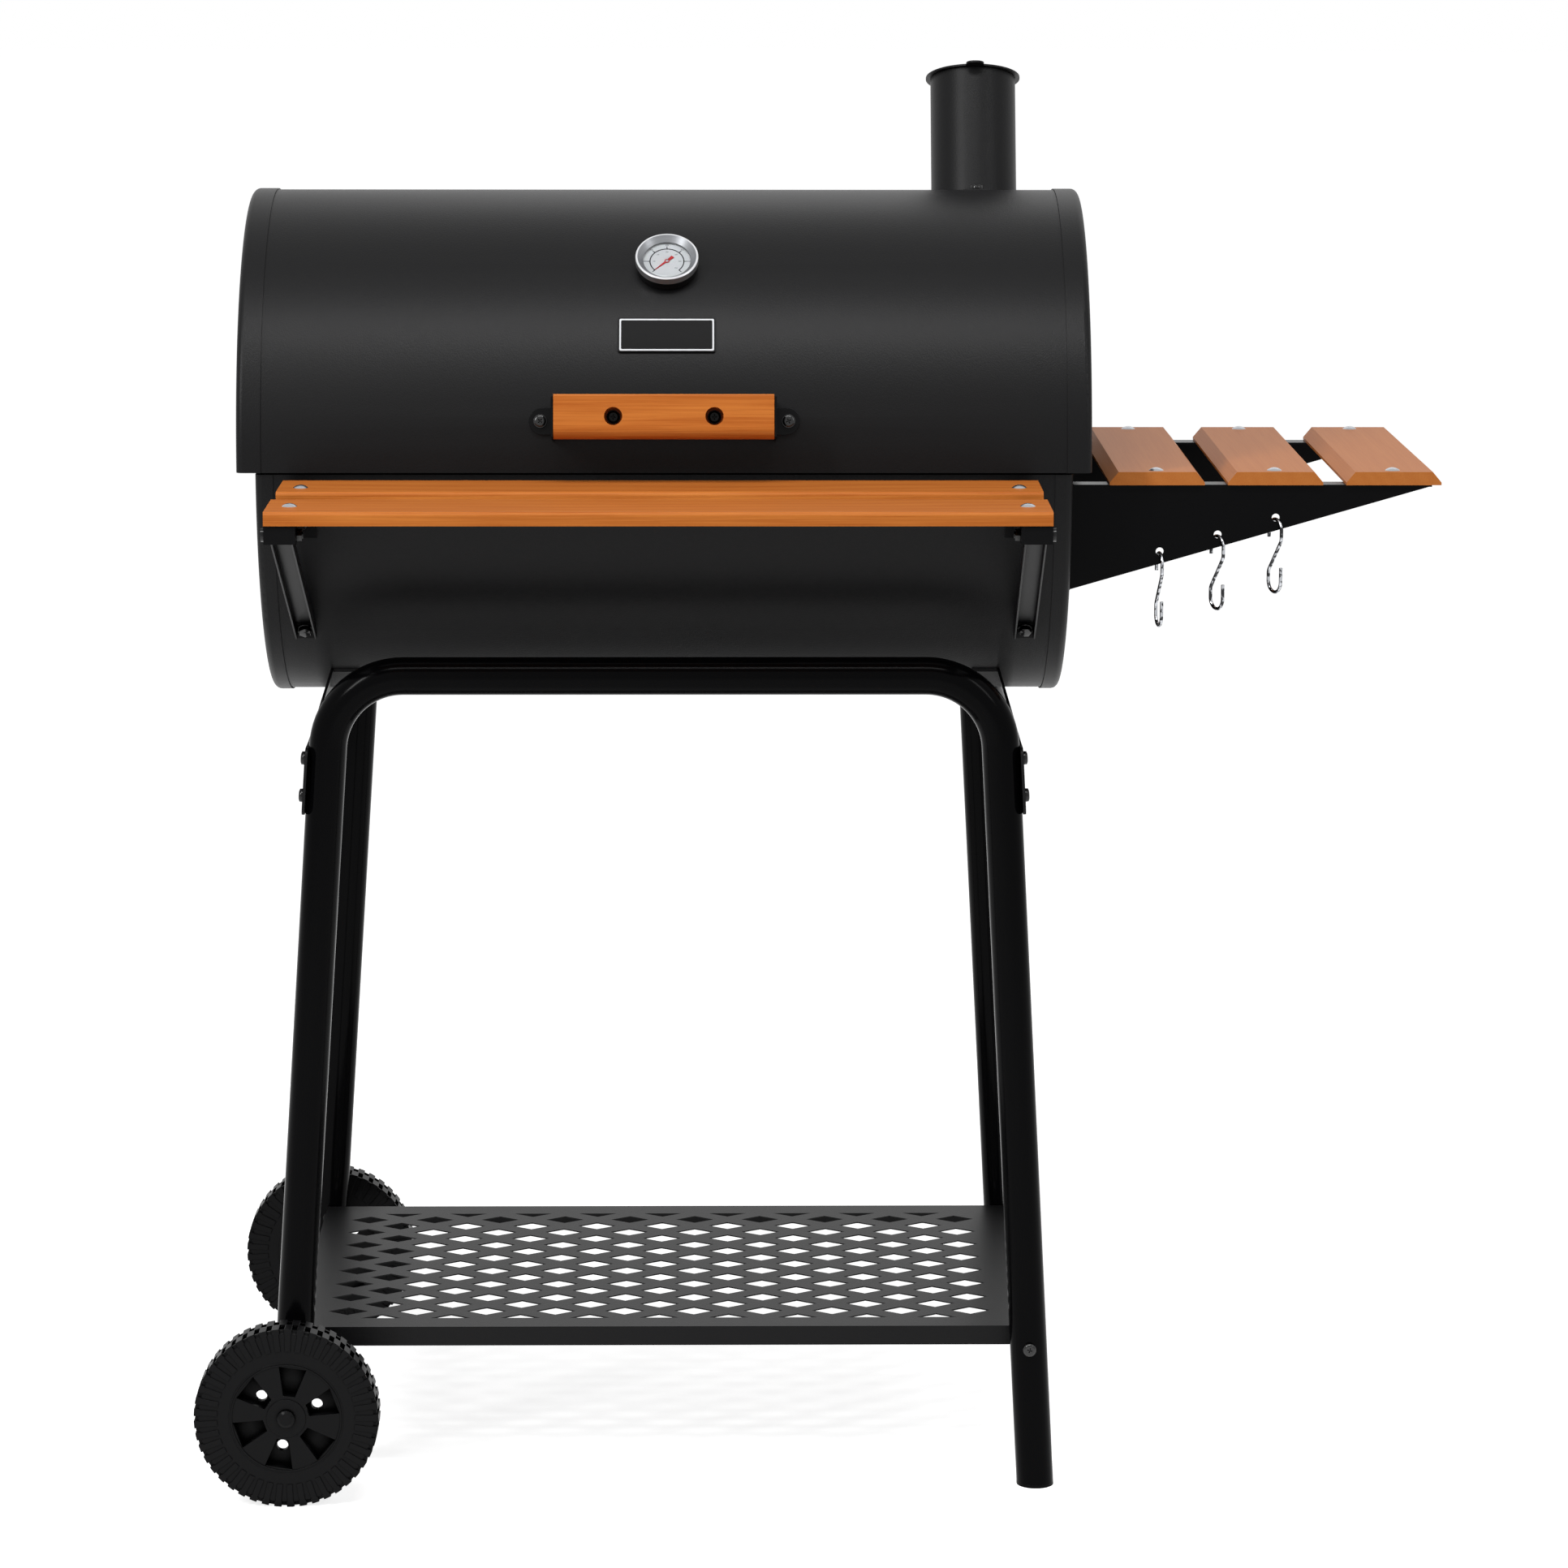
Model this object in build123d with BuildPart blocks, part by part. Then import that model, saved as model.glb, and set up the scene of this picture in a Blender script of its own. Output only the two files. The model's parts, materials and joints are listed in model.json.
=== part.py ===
from build123d import *
import math
import os

# A barrel charcoal grill on a wheeled tube cart: a hinged lid with a chimney, a drum with grates
# and a charcoal pan, a slatted front table, a slatted side table with S-hooks, and a pierced shelf.
# Millimetres, +Z up, +X to the grill's right as seen from the front, the front facing -Y.
# Everything is laid out from the floor point under the barrel's centre and moved at the end to
# the centre of its own footprint.

# Barrel
BARREL_Z = 939.0  # height of the barrel's axis
SHEET = 1.2  # steel sheet of lid, drum and shelf
LID_R = 234.6  # outside of the lid's end flanges
LID_LENGTH = 762.0
LID_LIP = -1.0  # lid's lower edge, from the barrel's axis
LID_FLANGE = 22.0  # width of an end's flange over the shell
DRUM_R = 230.6
DRUM_LENGTH = 729.0
DRUM_RIM = -3.0  # drum's upper edge, from the barrel's axis
DRUM_FLANGE = 16.0
END_BEND = 6.0  # bend radius where an end turns into its flange

# Fasteners
BOLT_R = 3.0
BOLT_HEAD_R = 6.0
BOLT_HEAD = 3.4
NUT_R = 5.6  # across corners
NUT = 4.5
HOLE_CLEARANCE = 0.3
RUNNING_CLEARANCE = 0.05  # radial, between a pin and its bore
SIDE_PLAY = 0.3  # between pieces that slide past each other
DOME_R = 6.7  # table bolts' domed heads
DOME = 2.6

# Lid hinges
HINGE_SPACING = 400.0
HINGE_WIDTH = 60.0
HINGE_LEAF = 40.0
LEAF_SHEET = 2.0
KNUCKLE_R = 5.0
PIN_R = 2.5
HINGE_STANDOFF = 5.4  # pin's centre behind the lid's flanges
HINGE_Z = -2.0  # pin's height, from the barrel's axis

# Chimney
CHIMNEY_X = 289.0
CHIMNEY_LEAN = 20.0  # degrees behind the barrel's top
CHIMNEY_R = 40.0
CHIMNEY_HEIGHT = 116.0
CAP_R = 44.3
CAP_SHEET = 1.6
CAP_TAB = 16.7  # width of the finger tab
CAP_TAB_REACH = 10.0
CHIMNEY_FOOT = 16.0  # reach of the foot tabs in front of and behind the tube
CHIMNEY_FOOT_WIDTH = 24.0
CAP_PIVOT = 30.0  # pivot's distance behind the tube's axis

# Thermometer, heights counted outward from the lid's flange radius
GAUGE_X = 2.0
GAUGE_ANGLE = 48.5  # degrees above the horizontal through the axis
BEZEL_R = 28.2
BEZEL_TOP = 14.0
CASE_R = 27.0
CASE_WALL = 1.0
CASE_BACK = -0.9
DIAL_TOP = 7.0
DIAL_SHEET = 0.8
DIAL_R = 21.4
GLASS_SHEET = 0.8
NEEDLE_SHEET = 0.5
NEEDLE_REACH = 15.0
NEEDLE_TIP = 0.25  # half width
NEEDLE_WAIST = 1.0
NEEDLE_TAIL = 1.6
NEEDLE_BOSS_R = 2.2
SPINDLE_R = 0.8
STEM_R = 3.0
STEM_LENGTH = 60.0

# Badge plate
BADGE_ANGLE = 30.5
BADGE_WIDTH = 87.0
BADGE_HEIGHT = 33.4
BADGE_SHEET = 2.0
BADGE_BORDER = 2.0

# Lid handle
HANDLE_ANGLE = 11.0
HANDLE_LENGTH = 194.0
HANDLE_HEIGHT = 39.0
HANDLE_DEPTH = 24.0
HANDLE_REACH = 49.5  # bar's centre outside the lid's flange radius
STRAP_SHEET = 2.0
STRAP_HEIGHT = 36.0
STRAP_FOOT = 22.0
HANDLE_HOLE_R = 8.0
HANDLE_HOLE_SPACING = 89.0
HANDLE_HOLE_DEPTH = 14.0

# Front table
TABLE_TOP = 934.0
SLAT = 12.0  # thickness of every slat
FRONT_TABLE_X = -3.0
FRONT_TABLE_LENGTH = 669.0
BACK_SLAT = (-335.0, -304.0, -250.5)  # front edge, bolts, back edge
FRONT_SLAT = (-470.0, -430.0, -382.0)
SLAT_ROUND = 3.5
ARM_WIDTH = 27.0
ARM_HEIGHT = 16.0
ARM_SHEET = 1.5
ARM_FRONT = -468.0
ARM_BOLT_INSET = 6.0  # slat bolts' distance inward of the arm's middle
ARM_TAB = 26.0
STRUT_WIDTH = 19.0
STRUT_FLANGE = 9.0
STRUT_TOP_Y = -452.0
STRUT_ANGLE = -40.6  # where it meets the drum, in degrees from the horizontal
STRUT_FOOT_X = 326.0

# Side table
SIDE_TOP = 932.0
SIDE_SLAT_WIDTH = 86.0
SIDE_SLAT_PITCH = 107.0
SIDE_SLAT_X = 444.0  # centre of the first slat
SIDE_SLAT_LENGTH = 354.0
SIDE_BEVEL = 8.0
SIDE_BOLT_Y = 163.0
BRACKET_Y = 172.0
BRACKET_SHEET = 2.0
BRACKET_FLANGE = 20.0
BRACKET_TIP_X = 693.0
BRACKET_DEPTH = 96.0  # where it meets the drum's end
BRACKET_SLOPE = 0.2945
HOOK_HOLE_R = 3.6
HOOK_HOLES_X = (447.4, 499.7, 552.0)
HOOK_HOLE_EDGE = 10.8  # hole's centre above the bracket's lower edge

# S-hooks
HOOK_WIRE_R = 1.6
HOOK_ARCH_R = 9.9
HOOK_DROP = 68.0
HOOK_TAIL = 17.0
HOOK_TIP = 23.0
HOOK_TURNS = (10.0, 28.0, 28.0)
HOOK_PLAY = 0.5  # between the wire and the lower edge of its hole

# Cart
TUBE_R = 17.0
TUBE_WALL = 1.5
LEG_Y = 232.5
ARCH_Z = 755.0
ARCH_X = 298.2  # where the arch's straights would cross
ARCH_BEND = 68.0
FOOT_X = 339.7  # right leg's centre on the floor
WHEEL_X = -344.5
JOINT_Z = 555.0
SPIGOT = 35.0
WHEEL_LEG_END = 64.0
FOOT_CAP = 3.0
SADDLE_SHEET = 2.5
SADDLE_BAND = (629.0, 690.0)
SADDLE_HALF = 249.0
SADDLE_SHOULDER = 212.0
SADDLE_CROWN = 120.0
SADDLE_LEAN = 15.0  # inward over the upper part's height
SADDLE_FLANGE = 22.0
SADDLE_SCREWS_Z = (645.0, 679.0)
SADDLE_SCREW_EDGE = 8.0  # corner radius of the band

# Shelf
SHELF_TOP = 145.0
SHELF_X = (-342.5, 333.5)
SHELF_HALF = 213.0
SHELF_APRON = 18.0
SHELF_SCREW_Z = 133.0
DIAMOND_X = -7.3
DIAMOND_PITCH = (64.3, 46.1)
DIAMOND_COUNT = (10, 8)
DIAMOND = (37.0, 25.0)

# Wheels
WHEEL_R = 83.7
WHEEL_WIDTH = 31.3
WHEEL_FACE = 297.0
TYRE_BASE_R = 80.5
TREAD_RIB_R = 82.5
TREAD_RIB = 1.8  # width of the three ribs that join the lugs
RIM_R = 52.2
LUG_COUNT = 45
LUG_ANGLE = 4.6
SIDE_BAR_R = 63.0
SIDE_BAR = 0.8
AXLE_R = 5.0
HUB_BOSS_R = 17.7
HUB_RING_R = 50.4  # raised ring round the pockets
HUB_RING = 1.3
HUB_WALL = 3.5  # between a pocket and the boss or the rim
HUB_POCKET = 11.0
HUB_POCKET_ANGLES = (142, 82, 20, -40, -99, -160)
HUB_POCKET_HALF = 15.0  # half of a pocket's angle
HUB_HOLLOW = 12.0  # depth of the hollow in the hub's back
HUB_HOLE_R = 5.15
HUB_HOLE_CIRCLE = 29.1
AXLE_CAP_R = 8.0
AXLE_CAP = 4.0

# Inside the drum
REST_Z = 874.0
REST_WIDTH = 20.0
GRATE_THICK = 8.0
GRATE_GAP = 4.0
GRATE_BAR = 6.0
GRATE_BARS = 12
GRATE_COUNT = 3
PAN_Z = 800.0
PAN_LENGTH = 640.0
PAN_DEPTH = 300.0
PAN_HEIGHT = 34.0
PAN_LIP = 9.0
PAN_REST_X = 240.0
PAN_REST = (24.0, 3.0)
PAN_SLOTS = 10
PAN_SLOT_WIDTH = 8.0
DAMPER_Z = 835.0
DAMPER_R = 38.0
DAMPER_HOLE_R = 9.0
DAMPER_CIRCLE = 23.0

# Sizes that follow from those above
LID_SHELL_R = LID_R - SHEET
LID_INNER_R = LID_SHELL_R - SHEET
DRUM_SHELL_R = DRUM_R - SHEET
DRUM_INNER_R = DRUM_SHELL_R - SHEET
DRUM_END = DRUM_LENGTH / 2
HOLE_R = BOLT_R + HOLE_CLEARANCE
HINGE_Y = LID_R + HINGE_STANDOFF
WHEEL_Y = WHEEL_FACE - WHEEL_WIDTH / 2
LEG_LEAN_LEFT = (-WHEEL_X - ARCH_X) / (ARCH_Z - WHEEL_R)
LEG_LEAN_RIGHT = (FOOT_X - ARCH_X) / ARCH_Z
SIDE_SLATS_X = [SIDE_SLAT_X + SIDE_SLAT_PITCH * i for i in range(3)]
BRACKET_TOP = SIDE_TOP - SLAT
FRONT_BOTTOM = TABLE_TOP - SLAT
ARM_X = (FRONT_TABLE_LENGTH - ARM_WIDTH) / 2  # from the table's centre
AXLE_HALF = WHEEL_FACE + 1.0
LEFT_EDGE = WHEEL_X - WHEEL_R
RIGHT_EDGE = SIDE_SLATS_X[-1] + SIDE_SLAT_WIDTH / 2
BACK_EDGE = AXLE_HALF + AXLE_CAP
TO_ORIGIN = Location((-(LEFT_EDGE + RIGHT_EDGE) / 2, -(FRONT_SLAT[0] + BACK_EDGE) / 2, 0))

# The barrel's cross-section: local x runs back, local y runs up, the normal points right
SECTION = Plane(origin=(0, 0, BARREL_Z), x_dir=(0, 1, 0), z_dir=(1, 0, 0))
# The barrel from the front: local x runs right, local y runs up
FRONT = Plane(origin=(0, 0, BARREL_Z), x_dir=(1, 0, 0), z_dir=(0, -1, 0))
BARREL_AXIS = Axis((0, 0, BARREL_Z), (1, 0, 0))


def around(angle, radius, x):
    """A plane that touches a barrel of `radius` at `angle` degrees above its front horizontal."""
    turn = math.radians(angle)
    outward = (0, -math.cos(turn), math.sin(turn))
    origin = (x, radius * outward[1], BARREL_Z + radius * outward[2])
    return Plane(origin=origin, x_dir=(1, 0, 0), z_dir=outward)


def at(seat, x, y, depth=0):
    """The plane `seat` moved to its own local point, its x along the barrel."""
    return Plane(seat.from_local_coords((x, y, depth)), (1, 0, 0), seat.z_dir)


def leg_x(side, z):
    """The x of a leg's centre line at height `z`."""
    lean = LEG_LEAN_LEFT if side < 0 else LEG_LEAN_RIGHT
    return side * (ARCH_X + (ARCH_Z - z) * lean)


def bolt(seat, grip, head_r=BOLT_HEAD_R, head=BOLT_HEAD, nut=True, domed=False):
    """One bolt: its head stands on the plane `seat`, its shank passes `grip` of material."""
    grip = grip + 2 * RUNNING_CLEARANCE
    dome_r = (head_r**2 + head**2) / (2 * head)
    with BuildPart() as piece:
        with BuildSketch(seat):
            Circle(head_r)
        extrude(amount=head)
        if domed:
            with Locations(seat.offset(head - dome_r)):
                Sphere(dome_r, mode=Mode.INTERSECT)
        with BuildSketch(seat):
            Circle(BOLT_R)
        extrude(amount=-(grip + (NUT + 1 if nut else 0)))
        if nut:
            with BuildSketch(seat.offset(-grip)):
                RegularPolygon(NUT_R, 6)
            extrude(amount=-NUT)
    return piece.part


def group(pieces):
    """Several separate solids as the one part of a node."""
    with BuildPart() as together:
        add(pieces)
    return together.part


def save(part, name):
    """Move one finished piece to the grill's own origin, label it and write its STEP file."""
    placed = part.moved(TO_ORIGIN)
    placed.label = name
    export_step(placed, f"parts/{name}.step")


os.makedirs("parts", exist_ok=True)


# ---------------------------------------------------------------- barrel
def barrel_shell(radius, length, edge, keep):
    """The rolled half-round sheet of the lid or the drum, inside its ends' flanges."""
    with BuildPart() as shell:
        with BuildSketch(SECTION):
            Circle(radius - SHEET)
            Circle(radius - 2 * SHEET, mode=Mode.SUBTRACT)
        extrude(amount=length / 2 - END_BEND, both=True)
        split(bisect_by=Plane.XY.offset(BARREL_Z + edge), keep=keep)
    return shell.part


def barrel_end(radius, length, flange, edge, keep):
    """A pressed half-round end, its flange turned inward over the shell; the right-hand one."""
    with BuildPart() as end:
        with BuildSketch(SECTION.offset(length / 2 - flange)):
            Circle(radius)
        extrude(amount=flange)
        fillet(end.faces().sort_by(Axis.X)[-1].edges(), END_BEND)
        offset(amount=-SHEET, openings=end.faces().sort_by(Axis.X)[0])
        split(bisect_by=Plane.XY.offset(BARREL_Z + edge), keep=keep)
    return end.part


def mirrored(part):
    """The left-hand twin of a right-hand piece."""
    with BuildPart() as twin:
        mirror(part, about=Plane.YZ)
    return twin.part


def hinge_leaves(shell_r, side):
    """Both leaves of one half of the lid's hinges: side 1 is on the lid, -1 on the drum."""
    knuckle_top = HINGE_Z + side * KNUCKLE_R
    third = HINGE_WIDTH / 3
    with BuildPart() as leaves:
        for x in (-HINGE_SPACING / 2, HINGE_SPACING / 2):
            with BuildSketch(SECTION.offset(x)):
                with Locations((0, knuckle_top + side * HINGE_LEAF / 2)):
                    Rectangle(2 * HINGE_Y, HINGE_LEAF)
                Circle(shell_r + LEAF_SHEET, mode=Mode.INTERSECT)
                Circle(shell_r, mode=Mode.SUBTRACT)
                with Locations((-HINGE_Y, 0)):
                    Rectangle(2 * HINGE_Y, 2 * HINGE_Y, mode=Mode.SUBTRACT)
            extrude(amount=HINGE_WIDTH / 2, both=True)
            spans = ((x, third - 2 * SIDE_PLAY),) if side < 0 else ((x - third, third), (x + third, third))
            for centre, width in spans:
                with BuildSketch(SECTION.offset(centre)):
                    with Locations((HINGE_Y, knuckle_top - side * LEAF_SHEET / 2)):
                        Rectangle(HINGE_Y - shell_r + LEAF_SHEET, LEAF_SHEET, align=(Align.MAX, Align.CENTER))
                    with Locations((HINGE_Y, HINGE_Z)):
                        Circle(KNUCKLE_R)
                    Circle(shell_r, mode=Mode.SUBTRACT)
                    with Locations((HINGE_Y, HINGE_Z)):
                        Circle(PIN_R + RUNNING_CLEARANCE, mode=Mode.SUBTRACT)
                extrude(amount=width / 2, both=True)
    return leaves.part


chimney_seat = around(90 + CHIMNEY_LEAN, LID_R, CHIMNEY_X)
foot_turn = math.degrees((CHIMNEY_R + CHIMNEY_FOOT * 0.55) / LID_SHELL_R)
chimney_screws = []
for turn in (-foot_turn, foot_turn):
    chimney_screws.append(around(90 + CHIMNEY_LEAN + turn, LID_SHELL_R + SHEET, CHIMNEY_X))
gauge_seat = around(GAUGE_ANGLE, LID_R, GAUGE_X)
handle_seat = around(HANDLE_ANGLE, LID_SHELL_R, 0)
foot_x = HANDLE_LENGTH / 2 + SIDE_PLAY + STRAP_SHEET + STRAP_FOOT / 2

with BuildPart() as lid_shell:
    add(barrel_shell(LID_R, LID_LENGTH, LID_LIP, Keep.TOP))
    with BuildSketch(chimney_seat):
        Circle(CHIMNEY_R - 2 * SHEET)
    extrude(amount=-LID_R / 4, mode=Mode.SUBTRACT)
    for seat in chimney_screws:
        with BuildSketch(seat):
            Circle(HOLE_R)
        extrude(amount=-3 * SHEET, mode=Mode.SUBTRACT)
    with BuildSketch(gauge_seat):
        Circle(STEM_R + SIDE_PLAY)
    extrude(amount=-LID_R / 4, mode=Mode.SUBTRACT)
    with BuildSketch(handle_seat.offset(SHEET)):
        with Locations((-foot_x, 0), (foot_x, 0)):
            Circle(HOLE_R)
    extrude(amount=-LID_R / 4, mode=Mode.SUBTRACT)
save(lid_shell.part, "lid_shell")

lid_end = barrel_end(LID_R, LID_LENGTH, LID_FLANGE, LID_LIP, Keep.TOP)
save(lid_end, "lid_end_right")
save(mirrored(lid_end), "lid_end_left")

# ---------------------------------------------------------------- lid hinges
lid_leaves = hinge_leaves(LID_SHELL_R, 1)
save(lid_leaves, "lid_hinge_leaves")
drum_leaves = hinge_leaves(DRUM_SHELL_R, -1)
save(drum_leaves, "drum_hinge_leaves")

with BuildPart() as hinge_pins:
    for x in (-HINGE_SPACING / 2, HINGE_SPACING / 2):
        with BuildSketch(SECTION.offset(x)):
            with Locations((HINGE_Y, HINGE_Z)):
                Circle(PIN_R)
        extrude(amount=HINGE_WIDTH / 2 + SIDE_PLAY + PIN_R, both=True)
        for side in (-1, 1):
            with BuildSketch(SECTION.offset(x + side * (HINGE_WIDTH / 2 + SIDE_PLAY + PIN_R / 2))):
                with Locations((HINGE_Y, HINGE_Z)):
                    Circle(PIN_R * 1.6)
            extrude(amount=PIN_R / 2, both=True)
save(hinge_pins.part, "hinge_pins")

# ---------------------------------------------------------------- chimney
lug_width = 5 * BOLT_R
with BuildPart() as chimney_tube:
    with BuildSketch(chimney_seat):
        Circle(CHIMNEY_R)
        Circle(CHIMNEY_R - SHEET, mode=Mode.SUBTRACT)
    extrude(amount=CHIMNEY_HEIGHT)
    tube_foot = chimney_tube.faces().sort_by(Axis(chimney_seat.origin, chimney_seat.z_dir))[0]
    extrude(tube_foot, amount=CHIMNEY_R / 2, dir=-chimney_seat.z_dir)
    # lug for the cap's pivot, folded inward at the rim
    with BuildSketch(chimney_seat.offset(CHIMNEY_HEIGHT)):
        with Locations((0, CHIMNEY_R)):
            Rectangle(lug_width, CHIMNEY_R - CAP_PIVOT + 2 * BOLT_R, align=(Align.CENTER, Align.MAX))
        Circle(CHIMNEY_R - SHEET / 2, mode=Mode.INTERSECT)
        with Locations((0, CAP_PIVOT)):
            Circle(BOLT_R + RUNNING_CLEARANCE, mode=Mode.SUBTRACT)
    extrude(amount=-CAP_SHEET)
    # foot tabs screwed to the lid in front of the tube and behind it
    with BuildSketch(SECTION.offset(CHIMNEY_X)):
        Circle(LID_SHELL_R + SHEET)
        with Locations((chimney_seat.origin.Y, chimney_seat.origin.Z - BARREL_Z)):
            Rectangle(
                2 * (CHIMNEY_R + CHIMNEY_FOOT), CHIMNEY_R,
                rotation=-CHIMNEY_LEAN, mode=Mode.INTERSECT,
            )
    extrude(amount=CHIMNEY_FOOT_WIDTH / 2, both=True)
    with BuildSketch(chimney_seat.offset(-CHIMNEY_R)):
        Circle(CHIMNEY_R - SHEET)
    extrude(amount=2 * CHIMNEY_R, mode=Mode.SUBTRACT)
    for seat in chimney_screws:
        with BuildSketch(seat.offset(SHEET)):
            Circle(HOLE_R)
        extrude(amount=-3 * SHEET, mode=Mode.SUBTRACT)
    with BuildSketch(SECTION.offset(CHIMNEY_X)):
        Circle(LID_SHELL_R + RUNNING_CLEARANCE)
    extrude(amount=2 * CHIMNEY_R, both=True, mode=Mode.SUBTRACT)
save(chimney_tube.part, "chimney_tube")

cap_seat = chimney_seat.offset(CHIMNEY_HEIGHT + SIDE_PLAY)
with BuildPart() as chimney_cap:
    with BuildSketch(cap_seat):
        Circle(CAP_R)
        with Locations((0, -CAP_R)):
            RectangleRounded(CAP_TAB, 2 * CAP_TAB_REACH, CAP_TAB * 0.42)
        with Locations((0, CAP_PIVOT)):
            Circle(BOLT_R + RUNNING_CLEARANCE, mode=Mode.SUBTRACT)
    extrude(amount=CAP_SHEET)
save(chimney_cap.part, "chimney_cap")

pivot_seat = at(cap_seat, 0, CAP_PIVOT, CAP_SHEET + SIDE_PLAY)
cap_pivot = bolt(pivot_seat, CAP_SHEET * 2 + SIDE_PLAY * 2)

# ---------------------------------------------------------------- thermometer
# Every piece is turned from a half-section: local x is the radius, local y the height off the lid
GAUGE_SECTION = Plane(gauge_seat.origin, gauge_seat.x_dir, -gauge_seat.y_dir)
GAUGE_AXIS = Axis(gauge_seat.origin, gauge_seat.z_dir)


def turned(*points):
    """A thermometer piece revolved from the outline of its half-section."""
    with BuildPart() as piece:
        with BuildSketch(GAUGE_SECTION):
            with BuildLine():
                Polyline(*points, close=True)
            make_face()
        revolve(axis=GAUGE_AXIS)
    return piece.part


case_in = CASE_R - CASE_WALL
glass_bottom = DIAL_TOP + 1.6
glass_top = glass_bottom + GLASS_SHEET
case_top = BEZEL_TOP - 2.6
thermometer_case = turned(
    (STEM_R, CASE_BACK), (CASE_R, CASE_BACK), (CASE_R, case_top), (case_in, case_top),
    (case_in, CASE_BACK + CASE_WALL), (STEM_R, CASE_BACK + CASE_WALL),
)
save(thermometer_case, "thermometer_case")

skirt = CASE_R + RUNNING_CLEARANCE
thermometer_bezel = turned(
    (skirt, DIAL_TOP), (BEZEL_R, DIAL_TOP), (BEZEL_R, BEZEL_TOP - 0.7), (BEZEL_R - 0.7, BEZEL_TOP),
    (BEZEL_R - 1.8, BEZEL_TOP), (DIAL_R, glass_top + 0.1), (DIAL_R, glass_top),
    (DIAL_R + 1.8, glass_top), (skirt, BEZEL_TOP - 1.2),
)
save(thermometer_bezel, "thermometer_bezel")

glass_r = DIAL_R + 1.6
thermometer_glass = turned(
    (0, glass_bottom), (glass_r, glass_bottom), (glass_r, glass_top), (0, glass_top)
)
save(thermometer_glass, "thermometer_glass")

dial_bottom = DIAL_TOP - DIAL_SHEET
dial_bore = SPINDLE_R + RUNNING_CLEARANCE
dial_edge = case_in - RUNNING_CLEARANCE
thermometer_dial = turned(
    (dial_bore, dial_bottom), (dial_edge, dial_bottom), (dial_edge, DIAL_TOP), (dial_bore, DIAL_TOP)
)
save(thermometer_dial, "thermometer_dial")

# needle points at the start of the scale, down to the left
needle_bottom = DIAL_TOP + SIDE_PLAY
with BuildPart() as thermometer_needle:
    with BuildSketch(gauge_seat.offset(needle_bottom)):
        with BuildLine():
            Polyline(
                (-NEEDLE_REACH, NEEDLE_TIP), (0, NEEDLE_WAIST), (NEEDLE_REACH / 2, NEEDLE_TAIL),
                (NEEDLE_REACH / 2, -NEEDLE_TAIL), (0, -NEEDLE_WAIST), (-NEEDLE_REACH, -NEEDLE_TIP),
                close=True,
            )
        make_face()
        Circle(NEEDLE_BOSS_R)
    extrude(amount=NEEDLE_SHEET)
    with BuildSketch(gauge_seat.offset(needle_bottom)):
        Circle(SPINDLE_R)
    extrude(amount=-(needle_bottom - CASE_BACK - CASE_WALL - SIDE_PLAY))
needle = thermometer_needle.part.rotate(GAUGE_AXIS, 45)
save(needle, "thermometer_needle")

nut_top = LID_INNER_R - LID_R - SIDE_PLAY
with BuildPart() as thermometer_stem:
    with BuildSketch(gauge_seat.offset(CASE_BACK + CASE_WALL)):
        Circle(STEM_R)
    extrude(amount=-STEM_LENGTH)
    with BuildSketch(gauge_seat.offset(nut_top)):
        RegularPolygon(3 * STEM_R, 6)
    extrude(amount=-2 * STEM_R)
save(thermometer_stem.part, "thermometer_stem")

# ---------------------------------------------------------------- badge plate
badge_seat = around(BADGE_ANGLE, LID_SHELL_R, GAUGE_X)
with BuildPart() as badge_plate:
    with BuildSketch(badge_seat.offset(-BADGE_HEIGHT / 8)):
        RectangleRounded(BADGE_WIDTH, BADGE_HEIGHT, BADGE_BORDER)
    extrude(amount=BADGE_HEIGHT)
    with BuildSketch(SECTION.offset(GAUGE_X)):
        Circle(LID_SHELL_R + BADGE_SHEET)
    extrude(amount=BADGE_WIDTH, both=True, mode=Mode.INTERSECT)
    with BuildSketch(SECTION.offset(GAUGE_X)):
        Circle(LID_SHELL_R)
    extrude(amount=BADGE_WIDTH, both=True, mode=Mode.SUBTRACT)
    with BuildSketch(badge_seat.offset(BADGE_SHEET / 2 - 0.2)):
        RectangleRounded(BADGE_WIDTH - 2 * BADGE_BORDER, BADGE_HEIGHT - 2 * BADGE_BORDER, BADGE_BORDER / 2)
    extrude(amount=BADGE_SHEET, mode=Mode.SUBTRACT)
save(badge_plate.part, "badge_plate")

# ---------------------------------------------------------------- lid handle
bar_back = HANDLE_REACH + SHEET - HANDLE_DEPTH / 2
bar_plane = Plane(handle_seat.origin, -handle_seat.z_dir, (1, 0, 0))
with BuildPart() as handle_bar:
    with BuildSketch(bar_plane) as outline:
        with Locations((-bar_back, 0)):
            Rectangle(HANDLE_DEPTH, HANDLE_HEIGHT, align=(Align.MAX, Align.CENTER))
        fillet(outline.vertices().sort_by(Axis.Y)[:2], HANDLE_DEPTH / 2.5)
        fillet(outline.vertices().sort_by(Axis.Y)[-2:], 2)
    extrude(amount=HANDLE_LENGTH / 2, both=True)
    with BuildSketch(handle_seat.offset(bar_back)):
        with GridLocations(HANDLE_HOLE_SPACING, 1, 2, 1):
            Circle(HOLE_R)
    extrude(amount=HANDLE_DEPTH, mode=Mode.SUBTRACT)
    with BuildSketch(handle_seat.offset(bar_back + HANDLE_DEPTH)):
        with GridLocations(HANDLE_HOLE_SPACING, 1, 2, 1):
            Circle(HANDLE_HOLE_R)
    extrude(amount=-HANDLE_HOLE_DEPTH, mode=Mode.SUBTRACT)
save(handle_bar.part, "handle_bar")

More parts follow.
